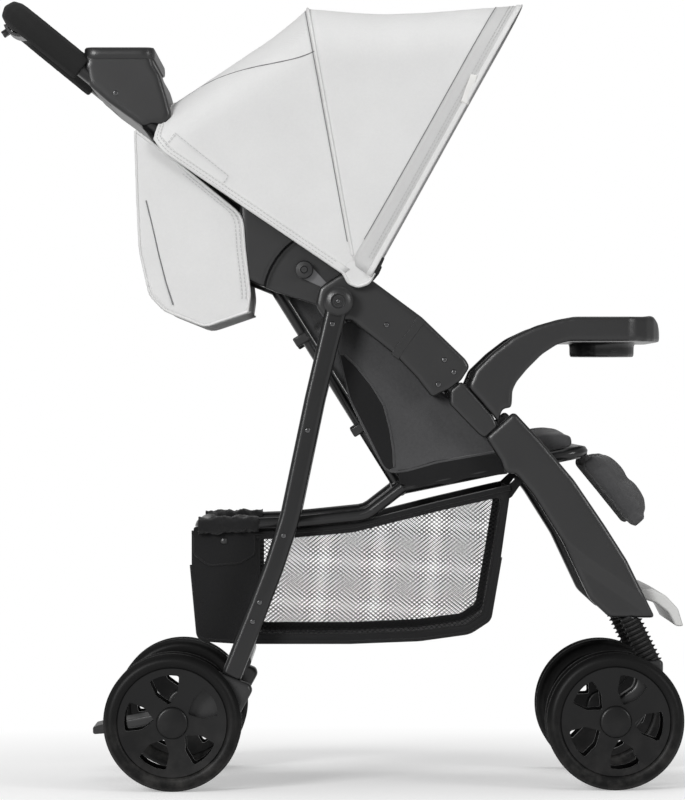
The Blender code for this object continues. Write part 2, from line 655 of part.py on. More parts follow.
def hood():
    grow = 2 * BOW_RADIUS + SLACK
    front = hoop(FRONT_BOW_ANGLE + 0.004, FRONT_BOW_REACH + grow, HOOD_IN)
    mid_front = hoop(MID_BOW_ANGLE - 0.003, MID_BOW_REACH + grow, HOOD_IN)
    mid_rear = hoop(MID_BOW_ANGLE + 0.003, MID_BOW_REACH + grow, HOOD_IN)
    rear = hoop(HOOD_REAR_ANGLE, HOOD_REAR_REACH, HOOD_IN, HOOD_REAR_CROWN_ANGLE)
    rear = [p + Vector((0.004, 0, 0.006)) if abs(p.y) < 0.2 else p for p in rear]
    cloth_between("canopy_front_fabric", front, mid_front, "light_cloth")
    cloth_between("canopy_rear_fabric", mid_rear, rear, "light_cloth")
    bow("canopy_front_bow", FRONT_BOW_ANGLE, FRONT_BOW_REACH, FRONT_BOW_IN)
    bow("canopy_mid_bow", MID_BOW_ANGLE, MID_BOW_REACH, MID_BOW_IN)


# Rear legs
def strip(path, half_width):
    """The outline of a bar of even width along a flat path in millimetres."""
    points = rounded([(Vector(p) * MM, 0.12) for p in path], closed=False, step=math.radians(6))
    left, right = [], []
    for i, p in enumerate(points):
        a = (points[min(i + 1, len(points) - 1)] - points[max(i - 1, 0)]).normalized()
        normal = Vector((-a.y, a.x)) * half_width
        left.append(p + normal)
        right.append(p - normal)
    return left + right[::-1]


def leg_outline(grow=0.0):
    """The rear leg's outline, with a round eye on the hub."""
    half = REAR_LEG_WIDTH / 2 + grow
    points = strip(REAR_LEG_PATH, half)
    count = len(points) // 2
    body = points[1:count] + points[count:-1]
    (x0, z0), (x1, z1) = REAR_LEG_PATH[:2]
    axis = math.atan2(z1 - z0, x1 - x0)
    eye = [Vector(polar(HUB, axis - math.pi / 2 - math.pi * k / 8, half + 0.001)) for k in range(9)]
    return body + eye


def rear_leg(word, side):
    leg = side_plate("rear_leg_" + word, leg_outline(), side, REAR_LEG_Y - REAR_LEG_HALF,
                     REAR_LEG_Y + REAR_LEG_HALF, "paint", 0.005, 2)
    bore = rod("leg_bore_" + word, across(HUB, side * 0.2), across(HUB, side * 0.25),
               HUB_PIN_RADIUS + BORE_GAP, None)
    cut(leg, bore)
    rivet = rod("link_rivet_" + word, across(LINK_PIVOT, side * (LINK_TUBE_Y + LINK_TUBE_RADIUS + GAP)),
                across(LINK_PIVOT, side * REAR_LEG_Y), 0.006, None, 12)
    return fuse(leg, rivet)


def rear_cross_tube():
    wide = REAR_LEG_Y - REAR_LEG_HALF - GAP
    place = (-0.1215, 0.1660)
    return rod("rear_cross_tube", across(place, -wide), across(place, wide), CROSS_TUBE_RADIUS, "paint", 16)


def housing_outline():
    """The rear housing, from the leg's foot down to the axle, in millimetres."""
    ax, az = REAR_AXLE[0] / MM, REAR_AXLE[1] / MM
    return [(ax + 55, az + 66, 5), (ax + 100, az + 48, 5), (ax + 103, az + 40, 5), (ax + 85, az + 7, 12),
            (ax + 17, az - 18, 12), (ax - 1, az - 21, 14), (ax - 20, az - 9, 14), (ax - 19, az + 9, 14),
            (ax + 7, az + 29, 20)]


def rear_wheel_housing(word, side):
    half = REAR_TWIN_HALF_GAP - 0.0005
    housing = side_plate("rear_wheel_housing_" + word, flat(housing_outline()), side, REAR_PAIR_Y - half,
                         REAR_PAIR_Y + half, "plastic", 0.003, 1)
    socket = side_plate("leg_socket_" + word, leg_outline(BORE_GAP), side, REAR_LEG_Y - REAR_LEG_HALF - BORE_GAP,
                        REAR_LEG_Y + REAR_LEG_HALF + BORE_GAP, None, 0.005, 2)
    bore = rod("housing_bore_" + word, across(REAR_AXLE, side * 0.17), across(REAR_AXLE, side * 0.27),
               AXLE_RADIUS + BORE_GAP, None)
    return cut(housing, socket, bore)


def brake_bar():
    """A shaft between the rear wheels with the foot pedal on it."""
    wide = REAR_PAIR_Y - REAR_TWIN_HALF_GAP - REAR_TYRE_WIDTH + 0.0005 - GAP
    shaft = rod("brake_bar", across(REAR_AXLE, -wide), across(REAR_AXLE, wide), 0.0070, "plastic")
    pedal = [(-215, 93, 2), (-312, 75, 4), (-324, 72, 3), (-324, 62, 3), (-310, 63, 4), (-215, 82, 2)]
    return fuse(shaft, plate("brake_pedal", flat(pedal), -0.055, 0.055, None, 0.002, 1))


# Wheels
def turned(name, profile, centre, look, side_count=WHEEL_SIDES):
    """A profile of (radius, place along the axle) turned round an axle across the pushchair."""
    work = bmesh.new()
    verts = [work.verts.new((r, 0.0, z)) for r, z in profile]
    for a, b in zip(verts, verts[1:]):
        work.edges.new((a, b))
    if profile[0][0] > 0:
        work.edges.new((verts[-1], verts[0]))
    mesh = bpy.data.meshes.new(name)
    work.to_mesh(mesh)
    work.free()
    thing = add(name, mesh, look)
    screw = thing.modifiers.new("turn", "SCREW")
    screw.steps = side_count
    screw.render_steps = side_count
    screw.use_merge_vertices = True
    screw.merge_threshold = 0.00005
    screw.use_normal_calculate = True
    thing.rotation_euler = (math.pi / 2, 0.0, 0.0)
    thing.location = centre
    return thing


def rim_profile(half_gap, width):
    """Both rims and the axle of a twin pair, from one end of the axle to the other."""
    seat = WHEEL_RADIUS - TYRE_DEPTH - GAP
    wall = 0.0045
    outer = half_gap + width
    half = [(0.0, outer - 0.0005), (HUB_CAP_RADIUS, outer - 0.0005), (HUB_CAP_RADIUS, outer - 0.003),
            (seat, outer - 0.003), (seat, half_gap + 0.003), (seat - wall, half_gap + 0.003),
            (seat - wall, outer - 0.009), (AXLE_RADIUS, outer - 0.009)]
    return half + [(r, -z) for r, z in reversed(half)]


def windows(name, centre, turn):
    """Five openings between the spokes, as prisms through both rims."""
    inner, outer = HUB_CAP_RADIUS + 0.004, WHEEL_RADIUS - TYRE_DEPTH - 0.0095
    work = bmesh.new()
    for k in range(SPOKES):
        middle = turn + 2 * math.pi * k / SPOKES
        outline = [(inner, 0.0), (0.60 * outer, -0.30), (outer, -0.36), (outer, 0.0), (outer, 0.36), (0.60 * outer, 0.30)]
        ring = [work.verts.new((r * math.cos(middle + a), -0.06, r * math.sin(middle + a))) for r, a in outline]
        face = work.faces.new(ring)
        grown = bmesh.ops.extrude_face_region(work, geom=[face])
        moved = [v for v in grown["geom"] if isinstance(v, bmesh.types.BMVert)]
        bmesh.ops.translate(work, verts=moved, vec=(0.0, 0.12, 0.0))
    bmesh.ops.recalc_face_normals(work, faces=work.faces)
    mesh = bpy.data.meshes.new(name)
    work.to_mesh(mesh)
    work.free()
    mesh.transform(Matrix.Translation(centre))
    return add(name, mesh, None)


def tyre_profile(width):
    inner = WHEEL_RADIUS - TYRE_DEPTH
    half = width / 2
    return [(inner, half - 0.003), (inner + 0.008, half), (WHEEL_RADIUS - 0.003, half * 0.66),
            (WHEEL_RADIUS, half * 0.25), (WHEEL_RADIUS, -half * 0.25), (WHEEL_RADIUS - 0.003, -half * 0.66),
            (inner + 0.008, -half), (inner, 0.003 - half)]


def wheel_pair(place, axle, pair_y, half_gap, width, turn):
    for word, side in sides():
        centre = across(axle, side * pair_y)
        rims = turned(place + "_rims_" + word, rim_profile(half_gap, width), centre, "rim")
        cut(rims, windows(place + "_windows_" + word, centre, turn))
        for where, step in (("outer", side), ("inner", -side)):
            middle = centre + Vector((0.0, step * (half_gap + width / 2), 0.0))
            turned(place + "_tyre_" + where + "_" + word, tyre_profile(width), middle, "rubber")


def fork_outline():
    """The fork's head on the swivel and its blade round the axle, in millimetres."""
    sx, head = SWIVEL_X / MM, (STRUT_FOOT_Z - 0.4 * MM) / MM
    ax, az = FRONT_AXLE[0] / MM, FRONT_AXLE[1] / MM
    return [(sx - 17, head, 0), (sx + 17, head, 0), (sx + 17, az + 39, 14), (ax + 25.5, az - 12, 14),
            (ax - 0.5, az - 19, 16), (ax - 19.5, az - 7, 16), (ax - 17.5, az + 15, 14), (sx - 20, az + 45, 12)]


def caster_fork(word, side):
    half = FRONT_TWIN_HALF_GAP - 0.0005
    y = side * FRONT_PAIR_Y
    fork = plate("caster_fork_" + word, flat(fork_outline()), y - half, y + half, "plastic", 0.003, 1)
    bore = rod("fork_bore_" + word, across(FRONT_AXLE, y - 0.06), across(FRONT_AXLE, y + 0.06),
               AXLE_RADIUS + BORE_GAP, None)
    return cut(fork, bore)


# Seat
def seat_frame():
    """The seat's tube: one bent bar with a boss at each front pivot."""
    rear = polar(SEAT_REAR, SEAT_SLOPE, -0.010)
    corners = [(across(rear, -SEAT_TUBE_Y), 0), (across(SEAT_FRONT, -SEAT_TUBE_Y), 0.03),
               (across(SEAT_FRONT, SEAT_TUBE_Y), 0.03), (across(rear, SEAT_TUBE_Y), 0)]
    path = rounded(corners, closed=False, step=math.radians(24))
    frame = tube("seat_frame", path, SEAT_TUBE_RADIUS, "paint")
    for word, side in sides():
        boss = rod("seat_boss_" + word, across(SEAT_PIVOT, side * SEAT_TUBE_Y),
                   across(SEAT_PIVOT, side * (COVER_IN - GAP)), 0.0060, None, 12)
        fuse(frame, boss)
    return frame


def basket_frame():
    """The tube that links the rear legs to the seat and holds the basket's rim."""
    path = [(across(Vector(p) * MM, -LINK_TUBE_Y), 0.03) for p in LINK_PATH]
    path[0] = (across(polar(SEAT_REAR, math.radians(38), 0.004), -LINK_TUBE_Y), 0.0)
    path += [(Vector((p.x, -p.y, p.z)), r) for p, r in reversed(path)]
    return tube("basket_frame", rounded(path, closed=False, step=math.radians(20)), LINK_TUBE_RADIUS, "paint")


def recline_tube():
    wide = SEAT_TUBE_Y - SEAT_TUBE_RADIUS - GAP
    return rod("recline_tube", across(SEAT_REAR, -wide), across(SEAT_REAR, wide), HINGE_TUBE_RADIUS, "paint", 14)


def backrest_frame():
    start = polar(SEAT_REAR, BACK_LEAN, HINGE_TUBE_RADIUS + GAP + 0.0004)
    top = polar(SEAT_REAR, BACK_LEAN, BACK_LENGTH)
    corners = [(across(start, -BACK_TUBE_Y), 0), (across(top, -BACK_TUBE_Y), 0.05),
               (across(top, BACK_TUBE_Y), 0.05), (across(start, BACK_TUBE_Y), 0)]
    return tube("backrest_frame", rounded(corners, closed=False, step=math.radians(20)), BACK_TUBE_RADIUS, "paint")


def cushion(name, length, half_width, thickness, place, look, channels=2, crown=0.006):
    """A pad with a crown, drawn-in sides and sewn channels across it.

    Local X runs along the pad, Y across it and Z out of its face.
    """
    columns, rows = 12, 8
    work = bmesh.new()
    bmesh.ops.create_grid(work, x_segments=columns, y_segments=rows, size=0.5)
    bmesh.ops.recalc_face_normals(work, faces=work.faces)
    grown = bmesh.ops.extrude_face_region(work, geom=list(work.faces))
    top = {v for v in grown["geom"] if isinstance(v, bmesh.types.BMVert)}
    for v in work.verts:
        u, w = v.co.x * 2, v.co.y * 2
        edge = max(abs(u), abs(w))
        swell = (1 - abs(u) ** 4) * (1 - abs(w) ** 4)
        pull = 1 - 0.035 * (1 - abs(w) ** 2) * abs(u) ** 3
        draw = 1 - 0.035 * (1 - abs(u) ** 2) * abs(w) ** 3
        seam = sum(math.exp(-((u - (2 * (k + 1) / (channels + 1) - 1)) / 0.09) ** 2) for k in range(channels))
        x, y = u * length / 2 * pull, w * half_width * draw
        if v in top:
            z = thickness * (0.45 + 0.55 * swell) - crown * seam * (edge < 0.99)
        else:
            z = 0.0
        v.co = (x + length / 2, y, z)
    bmesh.ops.recalc_face_normals(work, faces=work.faces)
    mesh = bpy.data.meshes.new(name)
    work.to_mesh(mesh)
    work.free()
    mesh.transform(place)
    smooth(mesh)
    return add(name, mesh, look)


def pad_place(origin, direction, lift, normal_turn=math.pi / 2):
    """A pad's place: along a side-view direction from origin, lifted along its face's normal."""
    along = Vector((math.cos(direction), 0.0, math.sin(direction)))
    normal = Vector((math.cos(direction + normal_turn), 0.0, math.sin(direction + normal_turn)))
    side = normal.cross(along)
    turn = Matrix((along, side, normal)).transposed().to_4x4()
    return Matrix.Translation(across(origin, 0.0) + normal * lift) @ turn


def seat_pad():
    start = polar(SEAT_REAR, SEAT_SLOPE, 0.0300)
    place = pad_place(start, SEAT_SLOPE, SEAT_TUBE_RADIUS + SLACK)
    return cushion("seat_pad", SEAT_LENGTH - 0.0300, PAD_HALF_WIDTH, SEAT_PAD_THICKNESS, place, "dark_cloth")


def backrest_pad():
    start = polar(SEAT_REAR, BACK_LEAN, 0.0450)
    place = pad_place(start, BACK_LEAN, BACK_TUBE_RADIUS + SLACK, -math.pi / 2)
    return cushion("backrest_pad", BACK_LENGTH - 0.0400, PAD_HALF_WIDTH, BACK_PAD_THICKNESS, place, "dark_cloth", 3)


def leg_rest():
    start = polar(SEAT_FRONT, LEG_REST_DROP, SEAT_TUBE_RADIUS + SLACK)
    place = pad_place(start, LEG_REST_DROP, -0.0110)
    return cushion("leg_rest", LEG_REST_LENGTH, PAD_HALF_WIDTH - 0.010, LEG_REST_THICKNESS, place, "dark_cloth", 1, 0.004)


def side_panel(word, side):
    outer = COVER_IN - GAP
    return side_plate("side_panel_" + word, flat(SIDE_PANEL_OUTLINE), side, outer - CLOTH, outer, "dark_cloth")


def basket():
    """A cloth tub with net sides, open at the top, hung between the link tubes."""
    outer = LINK_TUBE_Y - LINK_TUBE_RADIUS - SLACK
    points = flat(BASKET_OUTLINE)
    tub = plate("basket", points, -outer, outer, "black_cloth")
    past = 50 * MM            # how far the cutter runs out of the open top
    inside = flat(BASKET_OUTLINE, -BASKET_WALL,
                  lambda p: Vector((p.x, p.y + (past if p.y > 325 * MM else 0.0))))
    hollow = plate("basket_hollow", inside, BASKET_WALL - outer, outer - BASKET_WALL, None)
    return cut(tub, hollow, basket_net(outer))


def basket_net(outer):
    """Diamond prisms through both sides, in rows that follow the basket's rim and floor."""
    work = bmesh.new()
    left, right, floor = -105 * MM, 185 * MM, 215 * MM
    pitch = (right - left) / NET_COLUMNS
    for column in range(NET_COLUMNS):
        for row in range(NET_ROWS):
            shift = 0.5 * (row % 2)
            x = left + (column + 0.5 + shift) * pitch
            rim = 318 * MM + max(0.0, x) * 0.22
            rise = (rim - floor) / NET_ROWS
            z = floor + (row + 0.5) * rise
            if x > right - 0.4 * pitch:
                continue
            half_x, half_z = 0.36 * pitch, 0.40 * rise
            outline = [(x - half_x, z), (x, z - half_z), (x + half_x, z), (x, z + half_z)]
            ring = [work.verts.new((px, -outer - 0.01, pz)) for px, pz in outline]
            face = work.faces.new(ring)
            grown = bmesh.ops.extrude_face_region(work, geom=[face])
            moved = [v for v in grown["geom"] if isinstance(v, bmesh.types.BMVert)]
            bmesh.ops.translate(work, verts=moved, vec=(0.0, 2 * outer + 0.02, 0.0))
    bmesh.ops.recalc_face_normals(work, faces=work.faces)
    mesh = bpy.data.meshes.new("basket_net")
    work.to_mesh(mesh)
    work.free()
    return add("basket_net", mesh, None)


# Pivots: one empty on each joint's axis, carrying the pieces that move with it
PIVOTS = {
    "fold": (HUB, 0, None, ["push_bar", "foam_grip", "parent_tray", "handle_housing_left",
                            "handle_housing_right", "rear_fabric"]),
    "release": (BAR_TOP, 0, "fold", ["release_lever"]),
    "latch": (LATCH_PIVOT, 0, "fold", ["lock_latch_left", "lock_latch_right"]),
    "canopy_mid": (CANOPY_PIVOT, 0, None, ["canopy_mid_bow", "canopy_rear_fabric"]),
    "canopy_front": (CANOPY_PIVOT, 0, "canopy_mid", ["canopy_front_bow", "canopy_front_fabric"]),
    "rear_legs": (HUB, 0, None, ["rear_leg_left", "rear_leg_right", "rear_cross_tube",
                                 "rear_wheel_housing_left", "rear_wheel_housing_right"]),
    "basket_link": (LINK_PIVOT, 0, "rear_legs", ["basket_frame"]),
    "brake": (REAR_AXLE, 0, "rear_legs", ["brake_bar"]),
    "rear_wheels_left": (REAR_AXLE, REAR_PAIR_Y, "rear_legs",
                         ["rear_rims_left", "rear_tyre_outer_left", "rear_tyre_inner_left"]),
    "rear_wheels_right": (REAR_AXLE, -REAR_PAIR_Y, "rear_legs",
                          ["rear_rims_right", "rear_tyre_outer_right", "rear_tyre_inner_right"]),
    "swivel_left": ((SWIVEL_X, STRUT_FOOT_Z), FRONT_PAIR_Y, None, ["caster_fork_left"]),
    "swivel_right": ((SWIVEL_X, STRUT_FOOT_Z), -FRONT_PAIR_Y, None, ["caster_fork_right"]),
    "front_wheels_left": (FRONT_AXLE, FRONT_PAIR_Y, "swivel_left",
                          ["front_rims_left", "front_tyre_outer_left", "front_tyre_inner_left"]),
    "front_wheels_right": (FRONT_AXLE, -FRONT_PAIR_Y, "swivel_right",
                           ["front_rims_right", "front_tyre_outer_right", "front_tyre_inner_right"]),
    "seat": (SEAT_PIVOT, 0, None, ["seat_frame", "seat_pad"]),
    "recline_carrier": (SEAT_REAR, 0, "seat", ["recline_tube"]),
    "recline": (SEAT_REAR, 0, "recline_carrier", ["backrest_frame", "backrest_pad"]),
    "leg_rest_hinge": (SEAT_FRONT, 0, "seat", ["leg_rest"]),
}


def hang_on_pivots():
    places = {name: across(point, y) for name, (point, y, parent, pieces) in PIVOTS.items()}
    empties = {}
    for name, (point, y, parent, pieces) in PIVOTS.items():
        empty = bpy.data.objects.new("pivot_" + name, None)
        PARTS.objects.link(empty)
        empty.empty_display_size = 0.03
        empty.location = places[name]
        empties[name] = empty
    for name, (point, y, parent, pieces) in PIVOTS.items():
        if parent:
            empties[name].parent = empties[parent]
            empties[name].location = places[name] - places[parent]
        for piece in pieces:
            thing = bpy.data.objects[piece]
            thing.parent = empties[name]
            thing.matrix_parent_inverse = Matrix.Translation(-places[name])


def build():
    clear_scene()
    front_frame()
    for word, side in sides():
        arm_housing(word, side)
        knee_sleeve(word, side)
        leg_cover(word, side)
        bellows(word, side)
        hub_pin(word, side)
        handle_housing(word, side)
        lock_latch(word, side)
        rear_leg(word, side)
        rear_wheel_housing(word, side)
        caster_fork(word, side)
        side_panel(word, side)
    footrest_step()
    child_tray()
    push_bar()
    foam_grip()
    parent_tray()
    release_lever()
    rear_fabric()
    hood()
    rear_cross_tube()
    brake_bar()
    wheel_pair("rear", REAR_AXLE, REAR_PAIR_Y, REAR_TWIN_HALF_GAP, REAR_TYRE_WIDTH, math.radians(100))
    wheel_pair("front", FRONT_AXLE, FRONT_PAIR_Y, FRONT_TWIN_HALF_GAP, FRONT_TYRE_WIDTH, math.radians(66))
    seat_frame()
    basket_frame()
    recline_tube()
    backrest_frame()
    seat_pad()
    backrest_pad()
    leg_rest()
    basket()
    hang_on_pivots()


build()
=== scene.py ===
# Light pushchair: cloth, pads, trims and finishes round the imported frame. Metres, X forwards, Z up.
import json
import math
from functools import partial

import bmesh
import bpy
from mathutils import Matrix, Vector, noise
from mathutils.bvhtree import BVHTree

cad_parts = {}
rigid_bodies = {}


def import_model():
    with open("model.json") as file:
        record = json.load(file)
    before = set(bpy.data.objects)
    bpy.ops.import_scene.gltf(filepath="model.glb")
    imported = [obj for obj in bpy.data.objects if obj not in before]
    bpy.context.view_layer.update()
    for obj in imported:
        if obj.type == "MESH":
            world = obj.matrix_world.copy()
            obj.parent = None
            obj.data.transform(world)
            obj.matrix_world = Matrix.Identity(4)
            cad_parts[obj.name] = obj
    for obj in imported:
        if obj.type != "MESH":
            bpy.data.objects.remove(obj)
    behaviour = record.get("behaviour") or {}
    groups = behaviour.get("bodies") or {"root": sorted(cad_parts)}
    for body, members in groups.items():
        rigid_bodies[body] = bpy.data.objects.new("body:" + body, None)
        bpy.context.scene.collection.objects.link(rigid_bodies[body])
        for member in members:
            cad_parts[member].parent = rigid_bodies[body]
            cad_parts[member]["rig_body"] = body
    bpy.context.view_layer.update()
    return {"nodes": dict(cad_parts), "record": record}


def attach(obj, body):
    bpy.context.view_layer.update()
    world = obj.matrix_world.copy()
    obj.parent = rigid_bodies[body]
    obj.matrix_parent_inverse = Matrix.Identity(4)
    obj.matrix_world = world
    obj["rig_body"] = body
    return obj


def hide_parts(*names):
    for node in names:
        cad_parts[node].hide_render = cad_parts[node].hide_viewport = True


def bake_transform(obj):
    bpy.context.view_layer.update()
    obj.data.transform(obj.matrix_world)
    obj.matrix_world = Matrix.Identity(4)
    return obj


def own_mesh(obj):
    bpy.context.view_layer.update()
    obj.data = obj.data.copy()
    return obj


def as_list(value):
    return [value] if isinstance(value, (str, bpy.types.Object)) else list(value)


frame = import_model()
nodes = frame["nodes"]
slotOf = {row["node"]: row["material_slot"] for row in frame["record"]["subparts"]}
madeOf = {}  # CAD node: True once a piece stands for it
bothSides = (("Left", 1), ("Right", -1))
print("frame loaded,", len(nodes), "nodes")


# Camera: level with the middle of the pushchair, at its right side
cameraView = {"place": (0.006, -7.2, 0.504), "lens": 243.2, "sensor": 36.0, "reach": 60}

lensData = bpy.data.cameras.new("sideCamera")
lensData.lens, lensData.sensor_width, lensData.clip_end = [cameraView[key] for key in ("lens", "sensor", "reach")]
camera = bpy.data.objects.new("sideCamera", lensData)
camera.location = cameraView["place"]
camera.rotation_euler = (math.pi / 2, 0, 0)
bpy.context.scene.collection.objects.link(camera)
bpy.context.scene.camera = camera
bpy.context.scene.view_settings.view_transform = "Standard"


# Small makers that every piece uses: first points and paths
def mm(*values):
    return tuple(v / 1000 for v in values)


def polar(centre, degrees, reach):
    angle = math.radians(degrees)
    return Vector((centre[0] + reach * math.cos(angle), centre[1] + reach * math.sin(angle)))


def spots(rows):  # points of the side view, from millimetres
    return [Vector(mm(*p)) for p in rows]


def upright(p, y):  # a point (x, z) of the side view, set at y
    return Vector((p.x, y, p.y))


def roundedPath(corners, radii, closed=False, stepDegrees=8):  # radii: one for all the corners or one for each
    points, path = [Vector(p) for p in corners], []
    radii = radii if hasattr(radii, "__len__") else [radii] * len(points)
    for i, point in enumerate(points):
        before, after = points[i - 1] - point, points[(i + 1) % len(points)] - point
        turn = 0 if not closed and i in (0, len(points) - 1) else math.pi - before.angle(after)
        if radii[i] <= 0 or turn < 0.02:
            path.append(point)
            continue
        cut = min(radii[i] * math.tan(turn / 2), 0.45 * before.length, 0.45 * after.length)
        first, last = point + before.normalized() * cut, point + after.normalized() * cut
        steps = max(1, round(math.degrees(turn) / stepDegrees))
        for k in range(steps + 1):
            t = k / steps
            path.append((1 - t) ** 2 * first + 2 * t * (1 - t) * point + t ** 2 * last)
    return path


def outlineOf(rows, closed=True):  # rows of (x, z, radius) in millimetres
    return roundedPath(spots(row[:2] for row in rows), mm(*[row[2] for row in rows]), closed)


def sampler(path):  # a function from 0..1 to a point, by length
    lengths = [0.0]
    for a, b in zip(path, path[1:]):
        lengths.append(lengths[-1] + (b - a).length)

    def at(t):
        goal = min(max(t, 0), 1) * lengths[-1]
        i = 0
        while i < len(path) - 2 and lengths[i + 1] < goal:
            i += 1
        step = lengths[i + 1] - lengths[i]
        return path[i].lerp(path[i + 1], (goal - lengths[i]) / step if step else 0)
    return at


# Pieces and what fits them to the frame
def fitted(piece, slot=None, body=None):
    if body:
        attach(piece, body)
    return piece


def addMesh(name, mesh, finish, body=None, slot=None):
    mesh.materials.clear()
    mesh.materials.append(finish)
    piece = bpy.data.objects.new(name, mesh)
    bpy.context.scene.collection.objects.link(piece)
    return fitted(piece, slot, body)


def addPiece(name, work, look, body=None, sharp=45, slot=None):
    mesh = bpy.data.meshes.new(name)
    work.to_mesh(mesh)
    work.free()
    mesh.shade_smooth()
    mesh.set_sharp_from_angle(angle=math.radians(sharp))
    return addMesh(name, mesh, looks[look], body, slot)


def standFor(piece, *names):
    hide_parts(*names)
    madeOf.update((name, True) for name in names)
    return piece


def joined(name, pieces):  # several pieces of one finish as one mesh
    work = bmesh.new()
    for piece in pieces:
        work.from_mesh(piece.data)
    mesh = bpy.data.meshes.new(name)
    work.to_mesh(mesh)
    work.free()
    finish = pieces[0].data.materials[0]
    for piece in pieces:
        bpy.data.objects.remove(piece)
    return addMesh(name, mesh, finish)


def outwards(work):  # its faces point outwards again
    bmesh.ops.recalc_face_normals(work, faces=work.faces)
    return work


def merged(work, gap=0.00001):
    bmesh.ops.remove_doubles(work, verts=work.verts, dist=gap)
    return outwards(work)


def meshOf(piece):
    work = bmesh.new()
    work.from_mesh(piece.data)
    return work


# Modifiers
def applied(piece):  # bakes the piece's modifiers into its mesh
    bpy.context.view_layer.update()
    graph = bpy.context.evaluated_depsgraph_get()
    mesh = bpy.data.meshes.new_from_object(piece.evaluated_get(graph))
    piece.modifiers.clear()
    piece.data = mesh
    return piece


def edged(piece, width, segments=2, angle=40):
    edge = piece.modifiers.new("edges", "BEVEL")
    edge.width = width
    edge.segments = segments
    edge.limit_method = "ANGLE"
    edge.angle_limit = math.radians(angle)
    return piece


def evened(piece):
    piece.modifiers.new("evenShading", "WEIGHTED_NORMAL").keep_sharp = True
    return piece


def evenMesh(piece, grid):
    mesh = piece.modifiers.new("evenMesh", "REMESH")
    mesh.mode = "VOXEL"
    mesh.voxel_size = grid
    return piece


def thickened(piece, thick):
    cloth = piece.modifiers.new("thickness", "SOLIDIFY")
    cloth.thickness = thick
    cloth.offset = 0
    return piece


def cutAway(piece, cutter, finish=None):
    cut = piece.modifiers.new("cut", "BOOLEAN")
    cut.operation = "DIFFERENCE"
    cut.object = cutter
    if finish:
        finish(piece)
    applied(piece)
    bpy.data.objects.remove(cutter)
    return piece


# Shapes
def placed(work, matrix):
    bmesh.ops.transform(work, matrix=matrix, verts=work.verts)
    return outwards(work)


def bevelled(work, edges, width, segments):
    bmesh.ops.bevel(work, geom=list(edges), offset=width, offset_type="OFFSET", affect="EDGES", segments=segments,
                    profile=0.5, material=-1)


def sliced(work, point, normal, **more):  # all of it on the normal's side of a plane is cut off
    bmesh.ops.bisect_plane(work, geom=work.verts[:] + work.edges[:] + work.faces[:], plane_co=point, plane_no=normal,
                           clear_outer=True, **more)


def prism(points, yLow, yHigh):
    work = bmesh.new()
    ring = [work.verts.new((p[0], yLow, p[1])) for p in points]
    grown = bmesh.ops.extrude_face_region(work, geom=[work.faces.new(ring)])
    far = [v for v in grown["geom"] if isinstance(v, bmesh.types.BMVert)]
    bmesh.ops.translate(work, verts=far, vec=(0, yHigh - yLow, 0))
    return outwards(work)


def sideSlab(name, rows, side, inner, outer, look, sharp=45):  # an outline between two distances from the middle
    low, high = sorted((side * inner, side * outer))
    return addPiece(name, prism(outlineOf(rows), low, high), look, sharp=sharp)


def spun(profile, steps=48, closed=False):  # profile of (radius, place along Y)
    work = bmesh.new()
    verts = [work.verts.new((r, y, 0)) for r, y in profile]
    pairs = list(zip(verts, verts[1:])) + ([(verts[-1], verts[0])] if closed else [])
    edges = [work.edges.new(pair) for pair in pairs]
    bmesh.ops.spin(work, geom=verts + edges, cent=(0, 0, 0), axis=(0, 1, 0), angle=2 * math.pi,
                   steps=steps, use_merge=True, use_duplicate=False)
    return merged(work)


def gridSheet(name, columns, rows, place, look, thick=0.0014):
    work = bmesh.new()
    bmesh.ops.create_grid(work, x_segments=columns, y_segments=rows, size=0.5)
    for v in work.verts:
        v.co = place(v.co.x + 0.5, v.co.y + 0.5)
    return applied(thickened(addPiece(name, merged(work, 0.0002), look, sharp=60), thick))


def tubeAlong(name, points, radius, look, sides=10, closed=False):
    line = bpy.data.curves.new(name, "CURVE")
    line.dimensions = "3D"
    line.bevel_depth = radius
    line.bevel_resolution = max(0, sides // 2 - 2)
    line.use_fill_caps = not closed
    spline = line.splines.new("POLY")
    spline.points.add(len(points) - 1)
    for place, point in zip(spline.points, points):
        place.co = (*point, 1)
    spline.use_cyclic_u = closed
    shape = bpy.data.objects.new(name + "Line", line)
    bpy.context.scene.collection.objects.link(shape)
    bpy.context.view_layer.update()
    mesh = bpy.data.meshes.new_from_object(shape.evaluated_get(bpy.context.evaluated_depsgraph_get()))
    bpy.data.objects.remove(shape)
    work = bmesh.new()
    work.from_mesh(mesh)
    return addPiece(name, merged(work), look)


def stitchRow(points, stitch=0.0032, space=0.0018, width=0.0007):
    at = sampler([Vector(p) for p in points])
    total = sum((b - a).length for a, b in zip(points, points[1:]))
    count = max(1, int(total / (stitch + space)))
    work = bmesh.new()
    for k in range(count):
        a, b = at(k / count), at((k + stitch / (stitch + space)) / count)
        turn = (b - a).to_track_quat("Z", "Y").to_matrix().to_4x4()
        bmesh.ops.create_cube(work, size=1, matrix=Matrix.Translation((a + b) / 2) @ turn
                              @ Matrix.Diagonal((width, width, (b - a).length, 1)))
    return addPiece("stitches", work, "light_thread")


# Effects that several finishes share
def newGroup(name, inputs, outputs):
    group = bpy.data.node_groups.new(name, "ShaderNodeTree")
    for label, kind, value in inputs:
        socket = group.interface.new_socket(name=label, in_out="INPUT", socket_type=kind)
        if value is not None:
            socket.default_value = value
    for label in outputs:
        group.interface.new_socket(name=label, in_out="OUTPUT", socket_type="NodeSocketFloat")
    return group, group.nodes.new("NodeGroupInput"), group.nodes.new("NodeGroupOutput")


def feed(tree, value, socket):  # links another node's output or sets a number
    if hasattr(value, "links"):
        tree.links.new(value, socket)
    elif value is not None:
        socket.default_value = value


